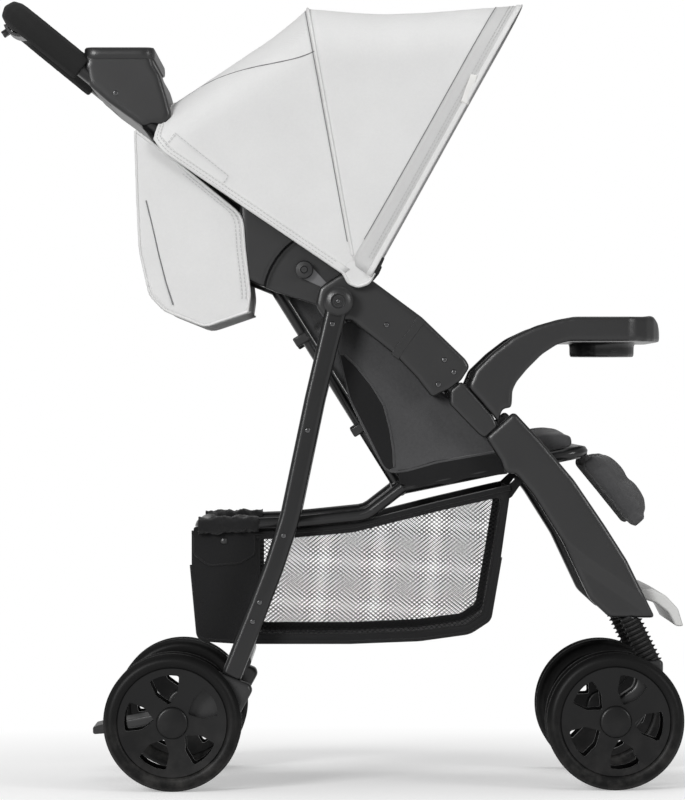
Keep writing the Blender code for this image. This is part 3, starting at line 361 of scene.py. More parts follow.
def mathNode(tree, operation, first, second=None, clamp=False):
    node = tree.nodes.new("ShaderNodeMath")
    node.operation = operation
    node.use_clamp = clamp
    for value, socket in zip((first, second), node.inputs):
        feed(tree, value, socket)
    return node.outputs[0]


def noiseNode(tree, vector, scale, detail=3, roughness=0.5):
    node = tree.nodes.new("ShaderNodeTexNoise")
    for label, value in (("Vector", vector), ("Scale", scale), ("Detail", detail), ("Roughness", roughness)):
        feed(tree, value, node.inputs[label])
    return node.outputs["Fac"]


def spread(tree, value, low, high, toLow=0.0, toHigh=1.0):
    node = tree.nodes.new("ShaderNodeMapRange")
    for label, number in (("Value", value), ("From Min", low), ("From Max", high), ("To Min", toLow),
                          ("To Max", toHigh)):
        feed(tree, number, node.inputs[label])
    return node.outputs["Result"]


def mixed(tree, share, first, second):  # two colours in proportion
    node = tree.nodes.new("ShaderNodeMix")
    node.data_type = "RGBA"
    for value, socket in ((share, "Factor"), (first, 6), (second, 7)):
        feed(tree, value, node.inputs[socket])
    return node.outputs[2]


def effectNode(tree, name, place):
    node = tree.nodes.new("ShaderNodeGroup")
    node.node_tree = effects[name]
    tree.links.new(place, node.inputs["Vector"])
    return node


def buildWeave():
    group, inside, outside = newGroup(
        "plainWeave", [("Vector", "NodeSocketVector", None), ("Threads", "NodeSocketFloat", 1200.0),
                       ("Slub", "NodeSocketFloat", 0.3)], ("Height", "Shade"))
    op = partial(mathNode, group)
    split = group.nodes.new("ShaderNodeSeparateXYZ")
    group.links.new(inside.outputs["Vector"], split.inputs[0])
    across = op("ADD", split.outputs[0], op("MULTIPLY", split.outputs[1], 0.83))
    upward = op("ADD", split.outputs[2], op("MULTIPLY", split.outputs[1], -0.41))
    turns = op("MULTIPLY", inside.outputs["Threads"], 2 * math.pi)
    warp = op("SINE", op("MULTIPLY", across, turns))
    weft = op("SINE", op("MULTIPLY", upward, turns))
    weave = spread(group, op("MULTIPLY", warp, weft), -1, 1)
    # Broad soft noise in the cloth's colour: painted shade of wrinkles
    soft = noiseNode(group, inside.outputs["Vector"], 16, 3)
    slub = noiseNode(group, inside.outputs["Vector"], 260, 2, 0.7)
    uneven = op("MULTIPLY", slub, inside.outputs["Slub"])
    group.links.new(op("ADD", weave, uneven), outside.inputs["Height"])
    # The shade mixes this painted wrinkle shade with the slubs' and the weave's own tone
    shade = op("ADD", op("MULTIPLY", soft, 0.45), op("ADD", uneven, op("MULTIPLY", weave, 0.3)), clamp=True)
    group.links.new(shade, outside.inputs["Shade"])
    return group


def buildGrain():
    group, inside, outside = newGroup(
        "mouldGrain", [("Vector", "NodeSocketVector", None), ("Size", "NodeSocketFloat", 900.0),
                       ("Cloud", "NodeSocketFloat", 9.0)], ("Height", "Shade"))
    op = partial(mathNode, group)
    fine = noiseNode(group, inside.outputs["Vector"], inside.outputs["Size"], 2, 0.6)
    cloud = noiseNode(group, inside.outputs["Vector"], inside.outputs["Cloud"], 4)
    group.links.new(fine, outside.inputs["Height"])
    shade = op("ADD", op("MULTIPLY", fine, 0.35), op("MULTIPLY", cloud, 0.65), clamp=True)
    group.links.new(shade, outside.inputs["Shade"])
    return group


def buildDust():
    group, inside, outside = newGroup(
        "floorDust", [("Vector", "NodeSocketVector", None), ("Height", "NodeSocketFloat", 0.12)], ("Mask",))
    op = partial(mathNode, group)
    split = group.nodes.new("ShaderNodeSeparateXYZ")
    group.links.new(inside.outputs["Vector"], split.inputs[0])
    low = op("SUBTRACT", 1.0, op("DIVIDE", split.outputs[2], inside.outputs["Height"]), True)
    patches = spread(group, noiseNode(group, inside.outputs["Vector"], 45, 5, 0.6), 0.42, 0.75)
    group.links.new(op("MULTIPLY", low, patches, True), outside.inputs["Mask"])
    return group


effects = {"weave": buildWeave(), "grain": buildGrain(), "dust": buildDust()}
dustColour = (0.11, 0.105, 0.10, 1)


# Each finish: two colours that its shade runs between, roughness range, size of its effect (and slubs), relief
def grained(dark, light, rough, size, relief, **more):
    return dict(dark=dark, light=light, rough=rough, effect="grain", size=size, relief=relief, **more)


def woven(dark, light, rough, size, slub, relief, **more):
    return dict(dark=dark, light=light, rough=rough, effect="weave", size=size, slub=slub, relief=relief, **more)


finishes = {
    "paint": grained((0.008, 0.008, 0.0085), (0.015, 0.015, 0.0155), (0.24, 0.33), 1500, 0.00003, metallic=0.25,
                     coat=0.15),
    "plastic": grained((0.009, 0.009, 0.0095), (0.019, 0.019, 0.0195), (0.27, 0.38), 1100, 0.00010, gloss=0.5),
    "latch_steel": grained((0.13, 0.13, 0.135), (0.22, 0.22, 0.225), (0.24, 0.38), 1600, 0.00002, metallic=1.0),
    "foam": grained((0.005, 0.005, 0.005), (0.013, 0.013, 0.013), (0.86, 0.98), 420, 0.0005),
    "bellows_rubber": grained((0.004, 0.004, 0.004), (0.010, 0.010, 0.010), (0.50, 0.66), 700, 0.0001),
    "tyre": grained((0.0025, 0.0025, 0.0025), (0.006, 0.006, 0.006), (0.36, 0.50), 620, 0.00018, gloss=0.14, dust=0.08),
    "rim": grained((0.003, 0.003, 0.0031), (0.007, 0.007, 0.0072), (0.26, 0.36), 1100, 0.00007, gloss=0.24, dust=0.04),
    "light_plastic": grained((0.56, 0.56, 0.55), (0.64, 0.64, 0.63), (0.38, 0.50), 1100, 0.00007),
    "light_cloth": woven((0.64, 0.64, 0.64), (0.80, 0.80, 0.795), (0.86, 0.96), 1250, 0.30, 0.00016, sheen=0.15),
    "band_cloth": woven((0.52, 0.52, 0.52), (0.66, 0.66, 0.655), (0.86, 0.96), 1250, 0.30, 0.00016, sheen=0.15),
    "edge_cloth": woven((0.66, 0.66, 0.655), (0.82, 0.82, 0.815), (0.80, 0.92), 900, 0.2, 0.0002, sheen=0.1),
    "dark_cloth": woven((0.032, 0.032, 0.0335), (0.084, 0.084, 0.086), (0.88, 0.98), 900, 0.55, 0.0003, sheen=0.3),
    "black_cloth": woven((0.004, 0.004, 0.0045), (0.013, 0.013, 0.0135), (0.82, 0.94), 800, 0.4, 0.0003, sheen=0.2),
    "webbing": woven((0.005, 0.005, 0.0055), (0.018, 0.018, 0.0185), (0.66, 0.80), 520, 0.2, 0.0005, sheen=0.2),
    # The dark lines this finish gives along seams and flap edges are painted shade in the groove beside each seam
    "dark_thread": woven((0.16, 0.16, 0.165), (0.24, 0.24, 0.245), (0.8, 0.9), 1500, 0.2, 0.0001),
    "light_thread": woven((0.44, 0.44, 0.44), (0.54, 0.54, 0.54), (0.8, 0.9), 1500, 0.2, 0.0001),
    "tag_cloth": woven((0.76, 0.755, 0.735), (0.86, 0.855, 0.84), (0.7, 0.8), 1500, 0.1, 0.0001),
    "screw_steel": grained((0.09, 0.09, 0.092), (0.16, 0.16, 0.163), (0.12, 0.22), 1500, 0.00002, metallic=1.0),
}


def makeFinish(name, look):
    material = bpy.data.materials.new(name)
    material.use_nodes = True
    tree = material.node_tree
    place = tree.nodes.new("ShaderNodeTexCoord").outputs["Object"]
    effect = effectNode(tree, look["effect"], place)
    if "slub" in look:
        effect.inputs["Threads"].default_value, effect.inputs["Slub"].default_value = look["size"], look["slub"]
    else:
        effect.inputs["Size"].default_value = look["size"]
    shade = effect.outputs["Shade"]
    colour = mixed(tree, shade, (*look["dark"], 1), (*look["light"], 1))
    if "dust" in look:
        mask = effectNode(tree, "dust", place).outputs["Mask"]
        colour = mixed(tree, mathNode(tree, "MULTIPLY", mask, look["dust"] * 4), colour, dustColour)
    bump = tree.nodes.new("ShaderNodeBump")
    for label, value in (("Strength", 0.8), ("Distance", look["relief"]), ("Height", effect.outputs["Height"])):
        feed(tree, value, bump.inputs[label])
    shader = tree.nodes["Principled BSDF"]
    for label, value in (("Metallic", look.get("metallic")), ("Coat Weight", look.get("coat")),
                         ("Sheen Weight", look.get("sheen")), ("Base Color", colour),
                         ("Specular IOR Level", look.get("gloss", 0.2 if "slub" in look else 0.42)),
                         ("Roughness", spread(tree, shade, 0, 1, *look["rough"])), ("Normal", bump.outputs["Normal"])):
        feed(tree, value, shader.inputs[label])
    material.diffuse_color = (*look["light"], 1)
    return material


looks = {name: makeFinish(name, look) for name, look in finishes.items()}
print("finishes made,", len(looks))


# Hood: one cloth over two bows, with its front band, bindings and seams
hoodSizes = {
    "pivot": (0.0248, 0.6600), "halfWidth": 0.2262, "foot": 0.018, "crownShare": 0.80, "crownDip": 0.008,
    "rounding": (0, 0.055, 0.06, 0.8, 0.06, 0.055, 0),
    "rear": dict(angle=145.3, crown=-10.6, reach=0.3390, drop=0.021, wide=0.0, bow=11.5, offset=0.0),
    "mid": dict(angle=100.3, crown=0.0, reach=0.3656, drop=0.047, wide=0.0, bow=0.0, offset=0.0),
    "front": dict(angle=61.1, crown=0.0, reach=0.4226, drop=0.047, wide=0.0020, bow=0.0, offset=0.0145),
    "bowReach": 0.318, "bowCurve": 1.6, "roofFrom": 0.90, "roofOver": 0.08, "roofSag": 0.007, "sideSag": 0.0045,
    "ripples": ((9, 0.0030, (0, 0, 0)), (26, 0.0009, (3, 1, 7))),  # how often, how high, shifted by
    "columns": 96, "rowsFront": 22, "rowsRear": 20, "seamSteps": 160,
    "bandWidth": 0.032, "edgeWidth": 0.0075, "bindingWidth": 0.0095, "seamWidth": 0.0042,
    "bandStitches": (0.0105, 0.0145), "rearStitches": (0.0030, 0.0075),
    "roofSeam": dict(start=0.262, drift=0.078, reach=0.86, steps=40),
    "patch": [(-210.5, 848.8), (-141.3, 793.0), (-152.8, 776.4), (-222.0, 832.0), (-210.5, 848.8)],
    "tag": [(171.4, 924.5), (180.1, 922.6), (168.0, 884.4), (158.5, 888.4)],
}
pivotX, pivotZ = hoodSizes["pivot"]
frontSpan, rearSpan = ("mid", "front"), ("rear", "mid")


def hoopSampler(part):
    size, hood = hoodSizes[part], hoodSizes
    half, shoulder = hood["halfWidth"] + size["wide"], size["reach"] - size["drop"]
    leg = [(half, hood["foot"]), (half, shoulder), (half * hood["crownShare"], size["reach"] - hood["crownDip"])]
    corners = leg + [(0, size["reach"])] + [(-x, z) for x, z in reversed(leg)]
    route = []
    for p in roundedPath(corners, hood["rounding"], stepDegrees=5):
        turn = size["angle"] + size["crown"] * max(0, (p.y - shoulder) / size["drop"])
        turn += size["bow"] * max(0, 1 - (p.y / hood["bowReach"]) ** hood["bowCurve"])  # hangs a little low
        turn -= math.degrees(math.asin(min(1, size["offset"] / p.y)))  # the front edge runs ahead of the pivot
        x, z = polar(hood["pivot"], turn, p.y)
        route.append(Vector((x, -p.x, z)))  # from the right foot over the crown to the left
    return sampler(route)


hoops = {part: hoopSampler(part) for part in ("rear", "mid", "front")}


def hoodPoint(across, along, first, second, lift=0.0):
    size = hoodSizes
    a, b = hoops[first](across), hoops[second](across)
    point, span = a.lerp(b, along), (b - a).length
    middle = Vector((pivotX, 0, pivotZ + 0.08))
    roof = min(1, max(0, (point.z - size["roofFrom"]) / size["roofOver"]))
    side = Vector((0, -1 if point.y > 0 else 1, 0))
    inward = (middle - point).normalized() * roof + side * (1 - roof)
    wave = 4 * along * (1 - along)
    sag = size["roofSag"] * roof + size["sideSag"] * (1 - roof) * min(1, span / 0.25)
    ripple = sum(noise.noise(point * often + Vector(shift)) * high for often, high, shift in size["ripples"])
    return point + inward * (sag * wave) - inward * (lift + ripple * wave * min(1, span / 0.1))


def shareOf(across, width, first, second):  # how far a strip of even width reaches
    span = (hoops[second](across) - hoops[first](across)).length
    return min(0.94, width / max(span, 0.001))


def hoodLine(span, edge, width, lift, skip=0):  # runs a set width in from edge 0 or 1 of a span
    line = []
    for k in range(skip, hoodSizes["seamSteps"] + 1 - skip):
        u = k / hoodSizes["seamSteps"]
        line.append(hoodPoint(u, edge + shareOf(u, width, *span) * (1 - 2 * edge), *span, lift))
    return line


def hoodStrip(name, span, edge, width, lift, rows, look, thick):  # lies along a span's first or second edge
    def place(u, v):
        return hoodPoint(u, edge + shareOf(u, width, *span) * (v if edge < 0.5 else v - 1), *span, lift)
    return gridSheet(name, hoodSizes["columns"], rows, place, look, thick=thick)


def blendHood(piece):
    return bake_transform(piece)


def foldHood(piece):
    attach(piece, "canopy_mid")
    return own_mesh(piece)


def buildHoodFront():
    size, span = hoodSizes, frontSpan
    cloth = gridSheet("hoodFrontCloth", size["columns"], size["rowsFront"],
                      lambda u, v: hoodPoint(u, 0.995 * v, *span), "light_cloth")
    standFor(cloth, "canopy_front_fabric")
    strip = hoodStrip("hoodFrontBand", span, 1, size["bandWidth"], 0.0012, 5, "band_cloth", 0.0008)
    edge = hoodStrip("hoodFrontHem", span, 1.004, size["edgeWidth"], 0.0022, 3, "edge_cloth", 0.0016)
    # Dark line along the band's seam: painted shade in the seam's groove
    seam = tubeAlong("hoodBandSeam", hoodLine(span, 1, size["bandWidth"], 0.0016, 6), 0.0006, "dark_thread", 6)
    rows = [stitchRow(hoodLine(span, 1, width, 0.0021, 3)) for width in size["bandStitches"]]
    pieces = [strip, edge, seam, joined("hoodFrontStitches", rows), buildTag()]
    for piece in [cloth] + pieces:
        blendHood(piece)


def buildTag():  # a small blank woven tag on the band
    topLeft, topRight, footRight, footLeft = spots(hoodSizes["tag"])

    def place(u, v):
        p = topLeft.lerp(topRight, u).lerp(footLeft.lerp(footRight, u), v)
        return upright(p, -hoodSizes["halfWidth"] - 0.0046 + 0.0012 * math.sin(v * math.pi) * u)
    return gridSheet("hoodTag", 6, 14, place, "tag_cloth", thick=0.0010)


def buildHoodRear():
    size, span = hoodSizes, rearSpan
    cloth = gridSheet("hoodRearCloth", size["columns"], size["rowsRear"], lambda u, v: hoodPoint(u, v, *span),
                      "light_cloth")
    standFor(cloth, "canopy_rear_fabric")
    hem = hoodStrip("hoodRearBinding", span, -0.002, size["bindingWidth"], 0.0015, 4, "edge_cloth", 0.0016)
    cord = tubeAlong("hoodRearCord", hoodLine(span, 0, 0, 0.0008), 0.0020, "edge_cloth", 8)
    piping = tubeAlong("hoodMidPiping", hoodLine(span, 1, 0, 0.0006, 2), 0.0021, "edge_cloth", 8)
    # Dark line beside the mid piping: painted shade in the seam's groove
    midSeamShade = tubeAlong("hoodMidSeam", hoodLine(span, 1, size["seamWidth"], 0.0009, 5), 0.0006, "dark_thread", 6)
    seam, seams = size["roofSeam"], []
    # Dark lines along the roof seams: painted shade under the roof panel's flap edge
    for mirror in (0, 1):
        line = []
        for k in range(seam["steps"] + 1):
            t = k / seam["steps"]
            u = seam["start"] + seam["drift"] * (0.35 * t + 0.65 * t * t * (3 - 2 * t))
            line.append(hoodPoint(1 - u if mirror else u, 1 - seam["reach"] * t, *span, 0.0009))
        seams.append(tubeAlong("hoodRoofSeam", line, 0.0007, "dark_thread", 6))
    rows = [stitchRow(hoodLine(span, 0, width, 0.0026, 3)) for width in size["rearStitches"]]
    for side in (-1, 1):  # the stitched patch over the rear corner
        patch = [upright(p, side * (size["halfWidth"] + 0.0012)) for p in spots(size["patch"])]
        path = [a.lerp(b, k / 20) for a, b in zip(patch, patch[1:]) for k in range(20)]
        rows.append(stitchRow(path + patch[-1:]))
    pieces = [hem, cord, piping, midSeamShade, joined("hoodRoofSeams", seams), joined("hoodRearStitches", rows)]
    for piece in [cloth] + pieces:
        foldHood(piece)


# Rounded corner pieces of the hood over its pivots, and the dark tab behind each
apexSizes = {
    "lobe": [(7, 668, 10), (14, 655, 12), (26, 650, 12), (40, 655, 12), (47, 668, 12), (37, 684, 10), (14, 683, 10)],
    "tab": [(42, 670, 2), (48, 667, 3), (56, 677, 4), (61, 688, 3), (54, 688, 3)],
    "boundCorners": 5, "binding": 0.0021,
}


def buildApex():
    size, y = apexSizes, hoodSizes["halfWidth"]
    for word, side in bothSides:
        lobe = sideSlab("hoodApex" + word, size["lobe"], side, y - 0.0010, y + 0.0011, "light_cloth")
        applied(edged(lobe, 0.0006, 2))
        edge = outlineOf(size["lobe"][:size["boundCorners"]], closed=False)
        trim = tubeAlong("hoodApexTrim" + word, [upright(p, side * (y + 0.0012)) for p in edge], size["binding"],
                         "edge_cloth", 8)
        tab = sideSlab("hoodTab" + word, size["tab"], side, y - 0.0030, y - 0.0012, "dark_cloth")
        for piece, slot in ((lobe, "light_cloth"), (trim, "light_cloth"), (tab, "dark_cloth")):
            fitted(piece, slot, "canopy_mid")


buildHoodFront()
buildHoodRear()
buildApex()
print("hood made")


# Cloth back: a box-sewn cover that hangs round the push bar under the hood
backCover = {
    "rear": [(-262, 852, 0), (-259, 763, 80), (-256, 698, 60), (-243, 640, 20), (-224, 620, 20), (-172, 599, 20),
             (-117, 618, 0)],
    "front": [(-262, 852, 0), (-236, 833, 30), (-124, 742, 30), (-121, 700, 60), (-114, 640, 30), (-117, 618, 0)],
    "halfWidth": 0.2121, "puff": 0.005, "pipe": 0.0017, "ripple": 0.003, "fold": 0.0022, "crease": 0.00108,
    "flap": [(-248, 762), (-240, 730), (-231, 690), (-222, 655), (-213, 627)], "stitchInsets": (0.0045, 0.0095),
}


def buildBackCover():
    size, half = backCover, backCover["halfWidth"]
    rear, front = [sampler(outlineOf(size[edge], closed=False)) for edge in ("rear", "front")]

    def back(u, v):
        p, edge = rear(v), 1 - abs(2 * u - 1) ** 6
        bulge = size["puff"] * math.sin(math.pi * v) ** 0.5 * edge
        ripple = size["ripple"] * noise.noise(Vector((u * 5, v * 6, 2.0))) * edge
        return Vector((p.x + 0.004 - bulge - ripple, (2 * u - 1) * (half - 0.0022 * (1 - edge)), p.y))
    pieces, trims = [gridSheet("backCoverRear", 48, 40, back, "light_cloth")], []
    for word, side in bothSides:
        def panel(u, v, side=side):
            p = rear(v).lerp(front(v), u)
            swell = 4 * u * (1 - u) * math.sin(math.pi * v)
            fold = size["fold"] * noise.noise(Vector((p.x * 14, p.y * 8, side))) * swell
            crease = size["crease"] * math.sin((p.x + p.y * 0.35) * 75) * swell * (1 - v)
            return upright(p, side * (half + 0.0012 * swell + fold + crease))
        pieces.append(gridSheet("backCoverSide" + word, 22, 44, panel, "light_cloth"))
        for line, lift, more in ((rear, 0.0006, 0), (front, 0.0004, 0.0003)):
            trims.append(tubeAlong("backCoverPipe", [upright(line(k / 60), side * (half + lift)) for k in range(61)],
                                   size["pipe"] + more, "edge_cloth", 8))
    lines, rows = [], []
    for side in (-1, 1):
        y = side * (half + 0.0022)
        path = roundedPath(spots(size["flap"]), 0.02)
        # Dark line down each flap edge of the cover: painted shade of the fold
        lines.append(tubeAlong("backCoverFlap", [upright(p, y) for p in path], 0.0009, "dark_thread", 6))
        for inset in size["stitchInsets"]:
            path = [upright(front(k / 60), y) - Vector((inset, 0, 0)) for k in range(18, 58)]
            rows.append(stitchRow(path))
    trims = [joined("backCoverPiping", trims), joined("backCoverFlapSeams", lines), joined("backCoverStitches", rows)]
    standFor(pieces[0], "rear_fabric")
    for piece in pieces + trims:
        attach(piece, "handle")
        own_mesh(piece)
    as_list(trims)
    for piece in pieces[1:]:
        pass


buildBackCover()
print("back cover made")


# Side panels of the seat, with piped edges, a darker wing behind a seam, and the valance under them
sidePanel = {
    "upper": [(-2, 600, 0), (28, 610, 8), (126, 522, 12), (196, 464, 12), (224, 440, 0)],
    "lower": [(-4, 590, 0), (16, 504, 60), (61, 415, 14), (72, 410, 6), (90, 412, 30), (128, 423, 40), (224, 440, 0)],
    "y": 0.1782, "pipe": 0.0018, "seamPipe": 0.0015, "hollow": 0.0055, "crease": 0.0020, "ripple": 0.0012,
    "valance": [(80, 396), (92, 391), (108, 390.5), (126, 396), (144, 394), (166, 402.5), (193, 405), (220, 408)],
    "valanceTop": [(78, 413), (92, 414), (126, 425), (171, 431), (224, 436)], "valanceY": 0.17925,
    "seam": [(9, 562), (24, 548), (44, 523), (60, 497), (68, 465), (72, 439), (73, 417)], "wing": (0.08, 0.463),
}


def seatSide(word, side):
    size = sidePanel
    upper, lower = [sampler(outlineOf(size[edge], closed=False)) for edge in ("upper", "lower")]

    def panel(u, v):
        p = upper(v).lerp(lower(v), u)
        swell = 4 * u * (1 - u) * math.sin(math.pi * v)
        crease = math.exp(-((p.x - 0.075 - (0.56 - p.y) * 0.28) / 0.020) ** 2)
        inward = size["hollow"] - size["crease"] * crease - size["ripple"] * noise.noise(p.to_3d() * 22)
        return upright(p, side * (size["y"] - inward * swell))
    piece = gridSheet("seatSide" + word, 26, 48, panel, "dark_cloth", thick=0.0016)
    hem = tubeAlong("seatSideHem", [upright(lower(k / 70), side * size["y"]) for k in range(71)], size["pipe"],
                    "dark_cloth", 8)
    work = meshOf(piece)
    skin = BVHTree.FromBMesh(work)
    work.free()

    def onPanel(p, lift=0.0006):  # the point of the panel's outer face level with p
        hit = skin.ray_cast(Vector((p.x, side * 0.3, p.y)), Vector((0, -side, 0)))[0]
        return upright(p, (hit.y if hit else side * size["y"]) + side * lift)
    route = roundedPath(spots(size["seam"]), 0.03)
    seam = tubeAlong("seatSideSeam", [onPanel(p) for p in route], size["seamPipe"], "dark_cloth", 8)
    pipe = joined("seatSidePipe" + word, [hem, seam])
    inner, (start, share) = sampler(route), size["wing"]

    def wingPlace(u, v):
        return onPanel(lower(start + share * v).lerp(inner(v), 0.03 + 0.94 * u))
    wing = gridSheet("seatWing" + word, 12, 40, wingPlace, "black_cloth", thick=0.0005)
    standFor(piece, "side_panel_" + word.lower())
    for part, slot in ((piece, "dark_cloth"), (pipe, "dark_cloth"), (wing, "black_cloth")):
        fitted(part, slot, "frame")
        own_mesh(part)


def seatValance(word, side):
    size = sidePanel
    top = sampler(spots(size["valanceTop"]))
    hem = sampler(roundedPath(spots(size["valance"]), 0.02))

    def skirt(u, v):
        return upright(top(v).lerp(hem(v), u), side * (size["valanceY"] - 0.0006 * u * (1 + math.sin(v * 19))))
    valance = gridSheet("seatValance" + word, 6, 30, skirt, "black_cloth", thick=0.0004)
    fitted(valance, "black_cloth", "seat")


for word, side in bothSides:
    seatSide(word, side)
    seatValance(word, side)
print("seat sides made")


# Basket: a soft tub of black cloth with net sides
basketSizes = {
    "outline": [(-190, 332.5, 2), (-63, 335.5, 60), (20, 343, 60), (132, 371, 60), (205, 388, 30), (224, 392, 3),
                (211, 300, 90), (197, 219, 14), (171, 202, 30), (106, 193, 60), (16, 189, 60), (-127, 189, 40),
                (-181, 193, 10), (-190, 290, 60)],
    "floorPath": [(-190, 332.5, 0), (-190, 290, 60), (-181, 193, 12), (-127, 189.5, 40), (16, 189.5, 60),
                  (106, 193, 60), (171, 202, 30), (197, 219, 14), (211, 300, 90), (224, 391, 0)],
    "window": [(-102, 324, 4), (-63, 325.5, 60), (20, 333, 60), (132, 361, 60), (205, 377.5, 6), (213, 376, 4),
               (201, 300, 90), (188, 226, 12), (168, 212, 20), (106, 204, 60), (16, 200, 60), (-102, 200, 4)],
    "tie": [(200, 382, 2), (215, 372, 3), (226, 378, 4), (243, 402, 2), (238, 409, 2), (222, 394, 3)],
    "flap": [(-186, 338, 2), (-108, 338, 2), (-108, 304, 8), (-128, 292, 14), (-168, 289, 18), (-187, 304, 10)],
    "snap": [(0, 0.0022), (0.0028, 0.0020), (0.0046, 0.0010), (0.0050, 0)], "snapAt": (-0.1480, 0.3210),
    "halfWidth": 0.1786, "wall": 0.0020, "sag": 0.0045, "ripple": 0.0018, "wallWave": 0.003,
    "tubeY": 0.1872, "gatherRadius": 0.0108, "gatherFold": 0.0030,
}
netSizes = {
    "cells": 88, "pitch": 0.0042, "strand": 0.24, "thick": 0.0005, "stretch": (1.12, 0.90), "middle": (0.055, 0.288),
    "trim": [(-112, 328), (-40, 330), (60, 346), (212, 382), (218, 380), (208, 300), (194, 220), (170, 205),
             (106, 197), (16, 193), (-112, 193)],
    "rim": [(-112, 328), (-40, 330), (20, 337), (132, 365), (212, 383)], "bulge": 0.0018,
}


def foldBasket(piece):
    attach(piece, "frame")
    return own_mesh(piece)


def basketFloor():
    size = basketSizes
    path = sampler(outlineOf(size["floorPath"], closed=False))

    def tub(u, v):
        p, edge, onFloor = path(v), 1 - abs(2 * u - 1) ** 4, 0.25 < v < 0.75
        drop = size["sag"] * edge if onFloor else 0
        ripple = size["ripple"] * noise.noise(Vector((u * 6, v * 9, 4.0))) * edge
        wave = 0 if onFloor else 0.6 * size["wallWave"] * math.sin(v * math.pi * 14) * edge
        y = (2 * u - 1) * (size["halfWidth"] - 0.001)
        return Vector((p.x + wave + (0.002 if v < 0.25 else 0), y, p.y - drop + abs(ripple)))
    return gridSheet("basketTub", 36, 90, tub, "black_cloth", thick=size["wall"])


def basketTrims(side):
    size, half = basketSizes, basketSizes["halfWidth"]
    pieces = [sideSlab("basketTie", size["tie"], side, half - 0.0012, half - 0.0002, "black_cloth")]
    rim, foot = [outlineOf(rows, closed=False) for rows in (size["outline"][:6], size["floorPath"][1:9])]
    window, flap = outlineOf(size["window"]), outlineOf(size["flap"])
    for path, lift, low, radius, sides, closed in (
            (rim, 0, 0.002, 0.0040, 8, False), (foot, -0.0004, 0, 0.0026, 8, False),
            (window, 0.0008, 0, 0.0012, 6, True), (flap, 0.0021, 0, 0.0013, 6, True)):
        line = [Vector((p.x, side * (half + lift), p.y - low)) for p in path]
        pieces.append(tubeAlong("basketEdge", line, radius, "black_cloth", sides, closed))
    slab = sideSlab("basketFlap", size["flap"], side, half + 0.0012, half + 0.0026, "black_cloth")
    pieces.insert(-1, applied(edged(slab, 0.0005, 1)))
    return pieces


def basketSnap(word, side):
    size = basketSizes
    (x, z), y = size["snapAt"], side * (size["halfWidth"] + 0.0026)
    snap = placed(spun(size["snap"], 20), Matrix.Translation((x, y, z)) @ Matrix.Diagonal((1, side, 1, 1)))
    foldBasket(addPiece("basketSnap" + word, snap, "plastic", slot="plastic"))


def basketGather(side):
    size = basketSizes

    def sleeve(u, v):
        turn, x = 2 * math.pi * u, -0.181 + 0.078 * v
        fold = noise.noise(Vector((v * 8, 1.4 * math.cos(turn), 1.4 * math.sin(turn) + side)))
        r = size["gatherRadius"] + size["gatherFold"] * fold + 0.0004 * math.sin(v * 70 + 9 * fold)
        return Vector((x, side * size["tubeY"] + r * math.cos(turn), 0.3412 + (x + 0.178) * 0.032 + r * math.sin(turn)))
    return gridSheet("basketGather", 26, 70, sleeve, "black_cloth", thick=0.0007)


def netPanel(side):
    size = netSizes
    work = bmesh.new()
    cells = size["cells"]
    bmesh.ops.create_grid(work, x_segments=cells, y_segments=cells, size=cells * size["pitch"] / 2)
    turn = Matrix.Rotation(math.radians(45 + side * 1.2), 4, "Z")
    flat = Matrix.Rotation(math.pi / 2, 4, "X") @ Matrix.Diagonal((*size["stretch"], 1, 1)) @ turn
    bmesh.ops.transform(work, matrix=flat, verts=work.verts)
    x, z = size["middle"]
    bmesh.ops.translate(work, verts=work.verts, vec=(x + side * 0.0011, 0, z))
    corners = spots(size["trim"])
    for a, b in zip(corners, corners[1:] + corners[:1]):
        way = (b - a).normalized()
        if a.y > 0.327 and b.y > 0.327 and b.x < 0.2125:  # the hollow rim is trimmed below, cell by cell
            continue
        sliced(work, (a.x, 0, a.y), (-way.y, 0, way.x), dist=0.00001)
    rim = sampler(spots(size["rim"]))
    line = [rim(k / 60) for k in range(61)]

    def aboveRim(face):
        middle = face.calc_center_median()
        return middle.z > min(line, key=lambda p: abs(p.x - middle.x)).y
    bmesh.ops.delete(work, geom=[f for f in work.faces if aboveRim(f)], context="FACES")
    bmesh.ops.inset_individual(work, faces=work.faces[:], thickness=size["strand"] * size["pitch"] / 2)
    holes = []
    for face in work.faces:  # the broad faces are the net's holes, the narrow ones its strands
        lengths = [e.calc_length() for e in face.edges]
        if len(lengths) >= 4 and face.calc_area() > 0.15 * size["pitch"] ** 2 and max(lengths) < 2.1 * min(lengths):
            holes.append(face)
    bmesh.ops.delete(work, geom=holes, context="FACES_ONLY")
    for v in work.verts:
        bulge = size["bulge"] * math.sin((v.co.x + 0.1) * 9) * math.sin((v.co.z - 0.2) * 20)
        v.co.y = side * (basketSizes["halfWidth"] - bulge)
    bmesh.ops.remove_doubles(work, verts=work.verts, dist=0.00001)
    return applied(thickened(addPiece("basketNetPanel", work, "black_cloth"), size["thick"]))


def buildBasket():
    size, half, wall = basketSizes, basketSizes["halfWidth"], basketSizes["wall"] / 2
    floor = basketFloor()
    sides, nets, trims = [], [], []
    for side in (-1, 1):
        panel = sideSlab("basketWall", size["outline"], side, half - wall, half + wall, "black_cloth")
        hole = sideSlab("basketHole", size["window"], side, half - wall - 0.01, half + wall + 0.01, "black_cloth")
        sides.append(cutAway(panel, hole))
        nets.append(netPanel(side))
        trims += basketTrims(side)
        basketSnap("Left" if side > 0 else "Right", side)
    gathers = joined("basketGathers", [basketGather(side) for side in (-1, 1)])
    fitted(gathers, "black_cloth", "basket_frame")
    panels, net, edges = joined("basketSides", sides), joined("basketNet", nets), joined("basketTrims", trims)
    standFor(floor, "basket")
    for piece in (floor, panels, net, edges):
        foldBasket(piece)


buildBasket()
print("basket made")


